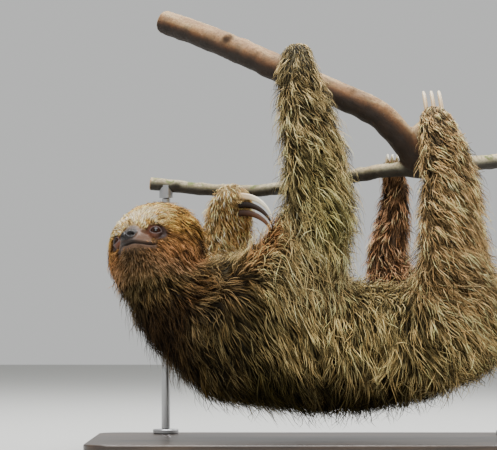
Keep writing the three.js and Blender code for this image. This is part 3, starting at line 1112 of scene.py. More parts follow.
@dataclass(frozen=True)
class CoatFinish:
    """Coarse dull hair, paler at the tip: painted shade darkens it towards the root and on strands low in the
    coat, painted sheen pales the brightest strands, and each strand has its own tone.
    """

    name: str = "coat_hair"
    # How dark painted shade makes a strand at its root.
    root: float = 0.1
    dim: float = 0.06
    bright: float = 2.6
    roughness: float = 0.6
    palest: Colour = (0.96, 0.91, 0.8)
    straw_and_sheen: Colour = (1.05, 1.06, 1.18)
    umber_and_shade: Colour = srgb(52, 36, 22)

    def material(self) -> Finish:
        """Build the hair's material."""
        graph = Graph(self.name)
        along = graph.attribute("along")
        tone_and_shade = graph.attribute("tone_and_shade")
        base = graph.attribute("coat_colour", "Color")
        patchy = graph.noise(34.0, 2.0)
        # Painted light and shade: a strand's brightness follows its tone, darkens towards the root and varies
        # in random patches.
        light = tone_and_shade**2.4 * self.bright + self.dim
        light = light * (along.ramp(-0.05, 0.65) * (1.0 - self.root) + self.root)
        light = light * (patchy * 0.7 + 0.65)
        # Painted sheen: the brightest strands pale and cool towards straw.
        colour = graph.mix(tone_and_shade.ramp(0.7, 1.0), base, self.straw_and_sheen, "MULTIPLY")
        # The darkest strands turn dark brown: their own tone, and painted shade for strands low in the coat.
        colour = graph.mix(tone_and_shade.ramp(0.3, 0.0) * 0.6, colour, self.umber_and_shade)
        grey = graph.node("ShaderNodeCombineColor", {}, {0: light, 1: light, 2: light})
        colour = graph.mix(1.0, graph.mix(1.0, colour, grey, "MULTIPLY"), self.palest, "DARKEN")
        return graph.finish(Base_Color=colour, Roughness=self.roughness, Specular_IOR_Level=0.12)


@dataclass(frozen=True)
class SkinFinish:
    """Skin in the coat's own colours, with fine creases, and moist where it is bare."""

    name: str = "skin"
    rough_bare: float = 0.5
    rough_furred: float = 0.85

    def material(self) -> Finish:
        """Build the skin's material."""
        graph = Graph(self.name)
        base = graph.attribute("coat_colour", "Color")
        bare = graph.attribute("bare")
        wet = graph.attribute("wet")
        fine = graph.noise(900.0, 4.0)
        broad = graph.noise(150.0, 3.0)
        cells = {"Vector": graph.place(), "Scale": 1100.0}
        grain = graph.node("ShaderNodeTexVoronoi", {"feature": "DISTANCE_TO_EDGE"}, cells)
        light = (broad * 0.5 + 0.75) * (fine * 0.3 + 0.85)
        grey = graph.node("ShaderNodeCombineColor", {}, {0: light, 1: light, 2: light})
        colour = graph.mix(1.0, base, grey, "MULTIPLY")
        rough = (1.0 - bare) * (self.rough_furred - self.rough_bare) + self.rough_bare - wet * 0.2
        height = grain.ramp(0.0, 0.25) * 0.6 + fine * 0.4
        normal = graph.bump(height, 0.25 * MM, 0.5)
        rough = rough + (fine - 0.5) * 0.15
        return graph.finish(Base_Color=colour, Roughness=rough, Normal=normal, Specular_IOR_Level=0.35)


@dataclass(frozen=True)
class EyeFinish:
    """A polished dark eye: black pupil, brown iris and deep brown rim, smooth and faintly reflective."""

    name: str = "eyeball"
    pupil: Colour = (0.002, 0.0015, 0.0015)
    iris: Colour = srgb(58, 30, 15)
    rim: Colour = srgb(16, 9, 7)

    def material(self) -> Finish:
        """Build the eye's material."""
        graph = Graph(self.name)
        radial = graph.attribute("radial")
        fibres = graph.noise(700.0, 2.0)
        iris = graph.mix(fibres, self.iris, self.rim)
        colour = graph.mix(radial.ramp(0.30, 0.36), self.pupil, iris)
        colour = graph.mix(radial.ramp(0.62, 0.74), colour, self.rim)
        return graph.finish(Base_Color=colour, Roughness=0.07, Specular_IOR_Level=0.16)


@dataclass(frozen=True)
class HornFinish:
    """Claw horn with fine lengthwise streaks, darker at the root."""

    name: str
    tip: Colour
    root: Colour
    streak: float = 0.35

    def material(self) -> Finish:
        """Build the horn's material."""
        graph = Graph(self.name)
        along = graph.attribute("along")
        streaks = graph.attribute("streak")
        fine = graph.noise(1500.0, 3.0)
        base = graph.mix(along.ramp(0.05, 0.7), self.root, self.tip)
        light = streaks * self.streak + (1.0 - self.streak * 0.5) + (fine - 0.5) * 0.2
        grey = graph.node("ShaderNodeCombineColor", {}, {0: light, 1: light, 2: light})
        colour = graph.mix(1.0, base, grey, "MULTIPLY")
        normal = graph.bump(streaks + fine * 0.3, 0.12 * MM, 0.6)
        return graph.finish(Base_Color=colour, Roughness=0.42, Normal=normal, Specular_IOR_Level=0.25)


@dataclass(frozen=True)
class BarkFinish:
    """Bark: broad stains, lichen specks, moss on top, pale sawn ends, a painted sunlit top and painted shade
    underneath.
    """

    name: str
    bark: Colour
    stain: Colour
    lichen: Colour = srgb(186, 178, 160)
    moss: Colour = srgb(96, 108, 42)
    wood: Colour = srgb(196, 166, 122)
    heart: Colour = srgb(150, 112, 74)
    grey_pale: Colour = srgb(178, 174, 148)
    grey_dark: Colour = srgb(116, 110, 84)
    sunlit: Colour = srgb(204, 176, 130)
    crack: Colour = srgb(44, 32, 24)
    shade: Colour = srgb(24, 16, 8)

    def material(self) -> Finish:
        """Build the bark's material."""
        graph = Graph(self.name)
        grey_share = graph.attribute("grey")
        cut = graph.attribute("cut")
        ring = graph.attribute("ring")
        top = graph.attribute("top")
        under = graph.attribute("under")
        grain = graph.noise(120.0, 5.0, graph.attribute("grain", "Vector"))
        broad = graph.noise(45.0, 4.0)
        fine = graph.noise(420.0, 5.0)
        specks = graph.noise(260.0, 2.0)
        colour = graph.mix(broad.ramp(0.35, 0.7), self.bark, self.stain)
        grey = graph.mix(broad.ramp(0.3, 0.7), self.grey_pale, self.grey_dark)
        colour = graph.mix(grey_share, colour, grey)
        colour = graph.mix(grain.ramp(0.5, 0.72) * 0.55, colour, self.stain)
        colour = graph.mix((grain.ramp(0.6, 0.3) * 0.7 + 0.3) * top * 0.75, colour, self.sunlit)
        colour = graph.mix(specks.ramp(0.7, 0.76) * 0.35, colour, self.lichen)
        colour = graph.mix(graph.noise(30.0, 4.0).ramp(0.68, 0.73) * 0.5, colour, self.lichen)
        colour = graph.mix(grey_share * top * graph.noise(70.0, 3.0).ramp(0.5, 0.62), colour, self.moss)
        colour = graph.mix(fine.ramp(0.55, 0.25) * 0.5, colour, self.crack)
        colour = graph.mix(under * 0.95, colour, self.shade)
        rings = graph.node("ShaderNodeMath", {"operation": "SINE"}, {0: ring * 26.0 + fine * 1.5})
        sawn = graph.mix(rings * 0.5 + 0.5, self.wood, self.heart)
        colour = graph.mix(cut, colour, sawn)
        height = fine * 0.6 + grain * 0.8 + specks.ramp(0.6, 0.7) * 0.3
        normal = graph.bump(height * (1.0 - cut * 0.8), 0.9 * MM, 0.8)
        return graph.finish(Base_Color=colour, Roughness=0.78, Normal=normal)


@dataclass(frozen=True)
class PlateFinish:
    """Dark stained hardwood with a satin lacquer and grain along X."""

    name: str = "stand_plate"
    dark: Colour = srgb(40, 31, 25)
    light: Colour = srgb(74, 56, 43)

    def material(self) -> Finish:
        """Build the lacquered wood's material."""
        graph = Graph(self.name)
        grain = graph.noise(60.0, 5.0, graph.stretched((0.12, 1.0, 1.0)))
        pores = graph.noise(420.0, 3.0, graph.stretched((0.05, 1.0, 1.0)))
        colour = graph.mix(grain.ramp(0.35, 0.68), self.dark, self.light)
        normal = graph.bump(pores, 0.15 * MM, 0.35)
        rough = 0.34 + pores * 0.12
        coat = {"Coat_Weight": 0.3, "Coat_Roughness": 0.2}
        return graph.finish(Base_Color=colour, Roughness=rough, Normal=normal, **coat)


@dataclass(frozen=True)
class SteelFinish:
    """Turned satin steel with fine marks round the rod."""

    name: str = "stand_steel"
    tint: Colour = (0.5, 0.5, 0.51)

    def material(self) -> Finish:
        """Build the steel's material."""
        graph = Graph(self.name)
        marks = graph.noise(900.0, 3.0, graph.stretched((0.1, 0.1, 1.0)))
        dust = graph.noise(60.0, 2.0)
        normal = graph.bump(marks, 0.05 * MM, 0.3)
        rough = 0.26 + marks * 0.12 + dust * 0.06
        colour = graph.mix(dust * 0.3, self.tint, (0.4, 0.4, 0.4))
        return graph.finish(Base_Color=colour, Metallic=1.0, Roughness=rough, Normal=normal)


@dataclass(frozen=True)
class FloorFinish:
    """A plain pale studio floor."""

    name: str = "studio_floor"

    def material(self) -> Finish:
        """Build the floor's material."""
        graph = Graph(self.name)
        return graph.finish(Base_Color=(0.5, 0.5, 0.48), Roughness=0.8)


# ---------------------------------------------------------------- skin


LIMBS = ("upper_arm", "forearm", "hand", "thigh", "shank", "foot")
FLESH = ("head", "nose", "neck", "chest", "belly", "hips", "tail")
FLESH += tuple(part + side for side in ("_right", "_left") for part in LIMBS)


@dataclass
class Skin:
    """One skin over the whole body, finer on the face, where its features are shaped."""

    body: Body
    face: Face
    markings: Markings
    face_back: float = 8.0
    face_side: float = 44.0
    face_top: float = 34.0
    face_low: float = -40.0
    cuts: int = 3
    light_least: float = 0.14

    def build(self) -> Piece:
        """Cut the skin from the distance field and shape the face.

        The skin is where the body's distance field is 0. The face's quads are divided again,
        drawn back onto the exact distance of head and neck, and shaped.

        Returns:
            The skin's object.
        """
        source = self.body.field
        grid = openvdb.FloatGrid(background=float(self.body.margin))
        grid.copyFromArray(source.values)
        points, quads = grid.convertToQuads(isovalue=0.0)
        points = points.astype(float) * source.pitch + source.low
        for _ in range(2):
            points = points - source.distance(points)[:, None] * source.normal(points)
        made = new_object("skin", points, [quads[:, ::-1].astype(np.int32)])
        self.refine(made)
        return made

    def in_face(self, points: Array) -> Array:
        """Which points are on the front of the head."""
        x, y, z = (self.body.head.local(points) / MM).T
        return (y > self.face_back) & (np.abs(x) < self.face_side) & (z < self.face_top) & (z > self.face_low)

    def refine(self, made: Piece) -> None:
        """Divide the face's quads and shape the features."""
        work = bmesh.new()
        work.from_mesh(made.data)
        chosen = self.in_face(places(made))
        edges = [edge for edge in work.edges if chosen[edge.verts[0].index] and chosen[edge.verts[1].index]]
        bmesh.ops.subdivide_edges(work, edges=edges, cuts=self.cuts, use_grid_fill=True)
        work.to_mesh(made.data)
        work.free()
        points = places(made)
        head = self.body.head
        inside = self.in_face(points)
        points[inside] = self.settled(points[inside])
        points[inside] = head.world(self.face.shaped(head.local(points[inside])))
        made.data.vertices.foreach_set("co", points.ravel())
        made.data.polygons.foreach_set("use_smooth", np.ones(len(made.data.polygons), bool))
        made.data.update()

    def settled(self, points: Array) -> Array:
        """Draw face points onto the zero of the head's and neck's exact distance."""
        step = 0.3 * MM
        for _ in range(3):
            distance = self.exact(points)
            slope = np.stack([self.exact(points + step * axis) - distance for axis in np.eye(3)], axis=1)
            points = points - distance[:, None] * unit(slope)
        return points

    def exact(self, points: Array) -> Array:
        """Distance to head and neck, joined as in the body's field."""
        neck = next(chain for chain in self.body.chains if chain.part is Part.NECK)
        head = self.body.head
        return soft_least(neck.near(points)[0], head.near(points)[0], head.neck_blend * MM)

    def dress(self, made: Piece) -> None:
        """Colour the skin and hand it to the frame."""
        points = places(made)
        head = self.body.head
        local = head.local(points)
        near_head = np.linalg.norm(local, axis=1) < HEAD_REACH
        reading = self.body.parts_at(points)
        bare = np.where(near_head, self.face.bare(local), 0.0)
        thin = smooth(9.0, 1.5, reading.coat / MM)
        shade = np.maximum(self.light_least + (1 - self.light_least) * thin * 0.6, bare)
        colour = self.markings.coat(points, reading, head, self.face) * shade[:, None]
        wet = np.where(near_head, smooth(1.15, 0.95, self.face.nose(local)), 0.0)
        colour[near_head] = self.markings.bare_over(colour[near_head], local[near_head], self.face)
        paint(made, "coat_colour", colour)
        paint(made, "bare", bare)
        paint(made, "wet", wet)
        made.data.materials.append(SkinFinish().material())
        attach(made, "root")
        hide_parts(*FLESH)


# ---------------------------------------------------------------- coat


@dataclass
class Flow:
    """The lie of the coat: the way that hair runs at each place on the skin."""

    body: Body
    face: Face
    crease: Place = (-128.0, -66.0, 184.0)

    def at(self, points: Array, normals: Array, stray: Array) -> Array:
        """Work out the lie of the hair.

        Each part has its own way; the ways are added by how much a place belongs to each part.
        Before the shoulder's crease the hair runs into it, and behind it the hair fans out. Hair
        parts round the eyes, smooth waves stir it, and what is left is laid flat on the skin.

        Args:
            points: Places near the skin.
            normals: The way out of the skin there.
            stray: A small way of its own for each strand.

        Returns:
            One unit vector for each place, along the skin.
        """
        reading = self.body.parts_at(points)
        index = {part: row for row, part in enumerate(Part)}
        right, up = np.array([1.0, 0.0, 0.0]), np.array([0.0, 0.0, 1.0])
        wrap = np.array([1.0, -0.7, 0.0])
        x, _, z = (points / MM).T
        arm_side = np.clip((x + 42.0 - 0.107 * (430.0 - z)) / 30.0, -1.0, 1.2)
        arm_side = arm_side * (0.25 + 0.8 * smooth(290.0, 420.0, z))
        arm_lean = 0.8 - 0.45 * smooth(350.0, 420.0, z) + arm_side
        leg_side = np.clip((x - 118.0) / 25.0, -1.0, 1.0)
        leg_lean = 1.2 + 0.5 * leg_side - 0.6 * smooth(345.0, 372.0, z)
        trunk_lean = 0.55 - 0.5 * smooth(-60.0, 10.0, x) + 0.35 * smooth(60.0, 120.0, x)
        local = self.body.head.local(points)
        jaw = smooth(-8.0, -30.0, local[:, 2] / MM) * smooth(30.0, 0.0, local[:, 1] / MM)
        flank = smooth(10.0, 34.0, np.abs(local[:, 0]) / MM)
        ways = {
            Part.HEAD: reading.way[index[Part.HEAD]] + jaw[:, None] * right * 0.5 - flank[:, None] * up * 0.6,
            Part.NECK: reading.way[index[Part.NECK]] * 0.7 - up * 0.6 + right * 0.25,
            Part.TRUNK: trunk_lean[:, None] * right - up,
            Part.TAIL: reading.way[index[Part.TAIL]],
            Part.ARM_RIGHT: -reading.way[index[Part.ARM_RIGHT]] + arm_lean[:, None] * wrap,
            Part.ARM_LEFT: -reading.way[index[Part.ARM_LEFT]] - up * 0.3 + wrap * 0.8,
            Part.LEG_RIGHT: -reading.way[index[Part.LEG_RIGHT]] + leg_lean[:, None] * wrap,
            Part.LEG_LEFT: -reading.way[index[Part.LEG_LEFT]] - up * 0.3 - right * 0.25,
        }
        total = sum(reading.share(part)[:, None] * way for part, way in ways.items())
        fan = unit((points - np.array(self.crease) * MM) * np.array([1.0, 0.2, 1.0]))
        behind = smooth(-3.0, 12.0, x - self.crease[0])
        trunk = np.clip(1.0 - reading.share(Part.HEAD) - reading.share(Part.ARM_LEFT), 0.0, 1.0)
        total += fan * (spot(points, self.crease, 62.0) * 1.9 * behind * trunk)[:, None]
        total -= fan * (spot(points, self.crease, 52.0) * 1.2 * (1.0 - behind))[:, None]
        fold = sum(spot(points, at, 18.0) for at in Markings.fold)
        total += np.array([0.72, 0.0, 0.7]) * (np.clip(fold, 0.0, 1.0) * 2.2 * behind)[:, None]
        for eye in self.face.eyes:
            away = points - self.body.head.world(eye.middle)
            near = bell(np.linalg.norm(away, axis=1), 13.0 * MM)
            total += unit(away) * (near * 1.6)[:, None]
        total = total + waves(points, 11, 0.05) * 0.26 + waves(points, 12, 0.014) * 0.2 + stray
        return unit(total - normals * dot(total, normals)[:, None])


WHOLE = (0.0, 1.0)


@dataclass
class Patch:
    """One coat piece: how many strands it has, and how long, wide and lively they are.

    Lengths, width, curl and droop are in millimetres. Along is the share of the part that it
    covers, lock how many strands share a leader, gather how far they draw in to it, and least
    the darkest tone, which holds both a strand's own tone and painted shade.
    """

    name: str
    part: Part
    along: tuple[float, float]
    strands: int
    length: tuple[float, float]
    width: float
    curl: float
    seed: int
    stray: float = 0.16
    wisps: float = 0.05
    droop: float = 3.0
    lock: int = 3
    gather: float = 0.42
    least: float = 0.0


@dataclass
class Coat:
    """The coat: solid tapering strands that march over the skin's distance field."""

    body: Body
    face: Face
    markings: Markings
    skin: Piece
    rings: int = 3
    tile: float = 0.003
    warmth: Colour = (0.12, -0.08, -0.26)
    patches: tuple[Patch, ...] = (
        Patch(
            "coat_face", Part.HEAD, (0.0, 0.33), 12000, (5, 9), 0.26, 0.25, 21, 0.16, 0.02, 0.0, 1, 0.0, 0.4
        ),
        Patch("coat_head", Part.HEAD, (0.33, 1.0), 12200, (12, 22), 0.34, 0.7, 22, 0.22, 0.09, 1.0),
        Patch("coat_neck", Part.NECK, WHOLE, 7000, (15, 27), 0.37, 0.9, 23, 0.2),
        Patch("coat_chest", Part.TRUNK, (0.0, 0.4), 11000, (16, 30), 0.4, 1.2, 24, 0.22),
        Patch("coat_belly", Part.TRUNK, (0.4, 0.72), 7900, (18, 32), 0.42, 1.3, 25, 0.26),
        Patch("coat_hips", Part.TRUNK, (0.72, 1.0), 5800, (20, 34), 0.46, 1.3, 26, 0.26, 0.04),
        Patch("coat_tail", Part.TAIL, WHOLE, 800, (12, 22), 0.4, 0.9, 27),
        Patch("coat_arm_right", Part.ARM_RIGHT, WHOLE, 12300, (15, 29), 0.37, 1.6, 28, 0.38, 0.11, 5.0),
        Patch(
            "coat_arm_left", Part.ARM_LEFT, WHOLE, 7200, (13, 24), 0.38, 1.6, 29, 0.34, 0.06, 2.0, least=0.5
        ),
        Patch("coat_leg_right", Part.LEG_RIGHT, WHOLE, 12000, (15, 29), 0.38, 2.0, 30, 0.42, 0.06),
        Patch("coat_leg_left", Part.LEG_LEFT, WHOLE, 5400, (15, 27), 0.4, 1.9, 31, 0.42, 0.06),
    )

    def build(self) -> list[Piece]:
        """Build every coat piece."""
        mesh = self.skin.data
        mesh.calc_loop_triangles()
        triangles = np.empty(len(mesh.loop_triangles) * 3, np.int32)
        mesh.loop_triangles.foreach_get("vertices", triangles)
        corners = places(self.skin)[triangles.reshape(-1, 3)]
        middles = corners.mean(axis=1)
        areas = np.linalg.norm(np.cross(corners[:, 1] - corners[:, 0], corners[:, 2] - corners[:, 0]), axis=1)
        reading = self.body.parts_at(middles)
        local = self.body.head.local(middles)
        bare = np.where(np.linalg.norm(local, axis=1) < HEAD_REACH, self.face.bare(local), 0.0)
        weight = areas * np.clip(1.0 - bare * 1.02, 0.0, 1.0) ** 1.5
        hair = CoatFinish().material()
        return [self.piece(patch, corners, weight, reading, hair) for patch in self.patches]

    def piece(
        self, patch: Patch, corners: Array, weight: Array, reading: Reading, hair: Finish
    ) -> Piece:
        """Build one coat piece.

        Args:
            patch: What the piece is.
            corners: The skin's triangles.
            weight: How much coat each triangle carries.
            reading: What each part is to the triangles' middles.
            hair: The coat's material.

        Returns:
            The dressed piece.
        """
        rng = np.random.default_rng(patch.seed)
        row = list(Part).index(patch.part)
        along = reading.along[row]
        owned = (reading.owner == row) & (along >= patch.along[0]) & (along <= patch.along[1])
        chance = np.where(owned, weight, 0.0)
        picked = rng.choice(len(chance), patch.strands, p=chance / chance.sum())
        mix = rng.dirichlet((1.0, 1.0, 1.0), patch.strands)
        roots = np.einsum("nk,nkd->nd", mix, corners[picked])
        lead = self.leaders(patch, roots, rng)
        own = rng.uniform(0.0, 1.0, (patch.strands, 2))
        shared = np.where(rng.uniform(0.0, 1.0, (patch.strands, 1)) < 0.6, own[lead], own)
        high = shared[:, 0] ** 1.2
        share = 0.15 + 0.85 * high
        wisp = rng.uniform(0.0, 1.0, patch.strands) < patch.wisps
        lines, normals = self.march(patch, roots, np.where(wisp, share * 0.6 + 1.0, share), wisp, lead, rng)
        # Painted shade: strands that rise less high in the coat get a darker tone, mixed with each strand's
        # own random tone.
        tone_and_shade = np.clip((0.4 * high + 0.6 * shared[:, 1] - 0.5) * 1.5 + 0.5, patch.least, 1.0)
        made = self.spikes(patch, lines, normals, tone_and_shade, rng)
        made.data.materials.append(hair)
        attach(made, "root")
        return made

    def leaders(self, patch: Patch, roots: Array, rng: np.random.Generator) -> Array:
        """Which strand leads each strand's lock: the nearest of one in every few strands."""
        if patch.lock == 1:
            return np.arange(len(roots))
        chosen = rng.permutation(len(roots))[: max(len(roots) // patch.lock, 1)]
        gap = np.sum(roots[chosen] ** 2, axis=1)[None] - 2.0 * roots @ roots[chosen].T
        return chosen[gap.argmin(axis=1)]

    def march(
        self, patch: Patch, roots: Array, share: Array, wisp: Array, lead: Array, rng: np.random.Generator
    ) -> tuple[Array, Array]:
        """Walk each strand over the skin.

        Each step goes along the lie of the hair, then out or in to the height
        coat * share * (1 - (1 - t)^2) above the skin, where t is the part of the length walked.
        Strands draw in to their lock's leader by gather * t^1.3. A curl, a sine of t, is laid
        over the walk, and the strand sags by droop * t^2.

        Args:
            patch: What the piece is.
            roots: Where the strands grow.
            share: How much of the coat's depth each strand rises through.
            wisp: Which strands stand out and stray.
            lead: Which strand leads each strand's lock.
            rng: The piece's random numbers.

        Returns:
            Lines by strand, ring and axis, and the skin's normals along them.
        """
        source = self.body.field
        flow = Flow(self.body, self.face)
        count = self.rings + 1
        total = len(roots)
        full = self.body.parts_at(roots).coat
        size = rng.uniform(0.0, 1.0, total)
        short, long = patch.length
        length = (short + (long - short) * size) * MM * self.scale(patch, roots, full)
        stray = rng.normal(0.0, patch.stray, (total, 3)) * np.where(wisp, 2.2, 1.0)[:, None]
        stray = stray + waves(roots, 13, 0.009) * 0.22
        normal = source.normal(roots)
        point = roots - normal * (source.distance(roots) + 0.6 * MM)[:, None]
        lines, normals = [point], [normal]
        for step in range(1, count):
            t = step / (count - 1)
            point = point + flow.at(point, normal, stray) * (length / (count - 1))[:, None]
            normal = source.normal(point)
            height = full * share * (1.0 - (1.0 - t) ** 2)
            point = point + normal * ((height - source.distance(point)) * 0.9)[:, None]
            lines.append(point)
            normals.append(normal)
        lines, normals = np.stack(lines, axis=1), np.stack(normals, axis=1)
        t = np.linspace(0.0, 1.0, count)[None]
        drawn = patch.gather * t**1.3 * np.where(wisp, 0.3, 1.0)[:, None]
        lines = lines + (lines[lead] - lines) * drawn[..., None]
        side = unit(np.cross(unit(np.gradient(lines, axis=1)), normals))
        phase = rng.uniform(0.0, 2 * np.pi, (total, 2))
        beat = rng.uniform(0.35, 1.0, total)[:, None]
        sway = np.sin(2 * np.pi * beat * t + phase[:, :1]) - np.sin(phase[:, :1])
        nod = np.sin(2 * np.pi * beat * t + phase[:, 1:]) - np.sin(phase[:, 1:])
        curl = patch.curl * length[:, None] / 0.03 * MM * rng.uniform(0.3, 1.2, total)[:, None]
        lines = lines + side * (sway * curl)[..., None] + normals * (nod * curl * 0.4)[..., None]
        lines[..., 2] -= (patch.droop * np.where(wisp, 2.5, 1.0) * MM)[:, None] * t**2
        low = source.distance(lines.reshape(-1, 3)).reshape(total, count)
        lines[:, 1:] += normals[:, 1:] * np.maximum(0.35 * MM - low[:, 1:], 0.0)[..., None]
        return lines, normals

    def scale(self, patch: Patch, roots: Array, full: Array) -> Array:
        """How long the hair is at each root for its piece: shorter where the coat is thin."""
        if patch.part is not Part.HEAD:
            return np.clip(full / (15.0 * MM), 0.4, 1.1)
        _, tilt, _ = self.body.head.near(roots)
        eyes = [np.linalg.norm(roots - self.body.head.world(eye.middle), axis=1) for eye in self.face.eyes]
        short = smooth(7.0, 20.0, np.minimum(*eyes) / MM)
        lips = np.linalg.norm(roots - self.body.head.world(np.array([0.0, 38.0, -20.0]) * MM), axis=1)
        short = short * (0.35 + 0.65 * smooth(10.0, 34.0, lips / MM))
        front = 0.6 + 1.4 * smooth(0.1, 0.34, tilt)
        ramp = front if patch.along[0] == 0.0 else 0.8 + 0.2 * smooth(0.33, 0.5, tilt)
        return ramp * (0.45 + 0.55 * short)

    def spikes(
        self, patch: Patch, lines: Array, normals: Array, tone_and_shade: Array, rng: np.random.Generator
    ) -> Piece:
        """Build one mesh of closed three-sided spikes along lines, of half width width * (1 - t^2.2).

        Args:
            patch: What the piece is.
            lines: Strand lines by strand, ring and axis; the last ring is the tip.
            normals: The skin's normals along them.
            tone_and_shade: How pale each strand is, 0 to 1: its own tone with painted shade for strands low
                in the coat.
            rng: The piece's random numbers.

        Returns:
            The mesh object, with its attributes and its OFBake map.
        """
        total, rings, _ = lines.shape
        t = np.linspace(0.0, 1.0, rings)[:-1]
        tangent = unit(np.gradient(lines, axis=1))[:, :-1]
        side = unit(np.cross(tangent, normals[:, :-1]))
        top = np.cross(side, tangent)
        wide = patch.width * MM * rng.uniform(0.65, 1.3, total)[:, None] * (1.0 - t**2.2)[None]
        wide = wide[..., None]
        body = lines[:, :-1]
        ring = np.stack([body - side * wide, body + side * wide, body + top * wide], axis=2)
        vertices = np.concatenate([ring.reshape(total, -1, 3), lines[:, -1:]], axis=1)
        per = vertices.shape[1]
        spans = rings - 2
        corner = np.arange(3)
        following = (corner + 1) % 3
        quads = ring_faces(spans + 1, 3)
        end = spans * 3
        tips = np.stack([end + corner, end + following, np.full(3, per - 1)], axis=1)
        shift = (np.arange(total) * per)[:, None, None]
        tris = np.concatenate([tips, np.array([[0, 2, 1]])])
        made = new_object(
            patch.name,
            vertices.reshape(-1, 3),
            [(quads[None] + shift).reshape(-1, 4), (tris[None] + shift).reshape(-1, 3)],
        )
        roots = lines[:, 0]
        reading = self.body.parts_at(roots)
        self.map_tiles(made, patch, reading, spans, rng)
        paint(made, "along", np.tile(np.append(np.repeat(t, 3), 1.0), total))
        paint(made, "tone_and_shade", np.repeat(tone_and_shade, per))
        colour = self.markings.coat(roots, reading, self.body.head, self.face)
        colour = colour * (1.0 + rng.uniform(0.0, 1.0, (total, 1)) * np.array(self.warmth))
        paint(made, "coat_colour", np.repeat(colour, per, axis=0))
        return made

    def map_tiles(
        self, made: Piece, patch: Patch, reading: Reading, spans: int, rng: np.random.Generator
    ) -> None:
        """Give the piece its OFBake map: a small tile for each strand at its root's place.

        The unwrap is the part's own: the turn round it is across the map, and the fraction
        along it is up the map.

        Args:
            made: The piece.
            patch: What the piece is.
            reading: What each part is to the strands' roots.
            spans: How many bands of quads a strand has.
            rng: The piece's random numbers.
        """
        row = list(Part).index(patch.part)
        low, high = patch.along
        across = reading.around[row]
        up = (reading.along[row] - low) / (high - low)
        home = np.clip(np.stack([across, up], axis=1), 0.0, 1.0) * (1.0 - 2 * self.tile) + self.tile * 0.5
        home = home + rng.uniform(-0.3, 0.3, home.shape) * self.tile
        column = np.arange(3)[None, :, None] / 3.0
        bands = np.arange(spans)[:, None, None] / (spans + 1.0)
        step_x = np.array([0.0, 1.0, 1.0, 0.0]) / 3.0
        step_y = np.array([0.0, 0.0, 1.0, 1.0]) / (spans + 1.0)
        quad = np.stack([column + step_x + bands * 0, bands + step_y + column * 0], axis=-1).reshape(1, -1, 2)
        tip_x = np.arange(3)[:, None] / 3.0 + np.array([0.0, 1.0, 0.5]) / 3.0
        tip_y = np.tile(np.array([spans, spans, spans + 1.0]) / (spans + 1.0), (3, 1))
        cap = np.array([[[0.0, 0.0], [2 / 3, 0.0], [1 / 3, 0.0]]])
        tips = np.concatenate([np.stack([tip_x, tip_y], axis=-1), cap]).reshape(1, -1, 2)
        spots = np.concatenate([(home[:, None] + part * self.tile).reshape(-1, 2) for part in (quad, tips)])
        layer = made.data.uv_layers.new(name="OFBake")
        layer.data.foreach_set("uv", np.clip(spots, 0.0, 1.0).astype(np.float32).ravel())


# ---------------------------------------------------------------- eyes and claws


@dataclass
class Eyes:
    """The two eyeballs, each with its pupil turned to where it looks."""

    head: Head
    face: Face
    rings: int = 32
    sides: int = 48

    def build(self) -> list[Piece]:
        """Build both eyes: a ball as rings of latitude round its gaze, with a slight cornea."""
        made = []
        glaze = EyeFinish().material()
        for eye, name in zip(self.face.eyes, ("eye_right", "eye_left")):
            tilt = np.linspace(0.0, np.pi, self.rings)[:, None]
            turn = np.linspace(0.0, 2 * np.pi, self.sides, endpoint=False)[None, :]
            radius = eye.radius * MM * (1.0 + 0.03 * bell(tilt, 0.6))
            out = radius * np.cos(tilt) + 0 * turn
            ring = radius * np.sin(tilt)
            local = np.stack([ring * np.cos(turn), ring * np.sin(turn), out], axis=-1)
            shell = self.head.world(local @ eye.axes + eye.middle)
            vertices, polygons = swept(shell[1:-1])
            ball = new_object(name + "_ball", vertices, [group[:, ::-1] for group in polygons])
            inner = tilt[1:-1, 0]
            radial = np.repeat(np.sin(inner) + np.where(inner > np.pi / 2, 1.0, 0.0), self.sides)
            paint(ball, "radial", np.append(radial, [0.0, 2.0]))
            ball.data.materials.append(glaze)
            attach(ball, "root")
            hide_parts(name)
            made.append(ball)
        return made


@dataclass
class ClawSet:
    """Three claws of one hand or foot, on arcs: it sets out along `out` and bends towards `bend`."""

    limb: str
    root: Place
    step: Place
    out: Place
    bend: Place
    radius: float
    sweep: float
    finishes: tuple[str, str, str] = ("claw_pale", "claw_pale", "claw_pale")
    slot: str = "claw"


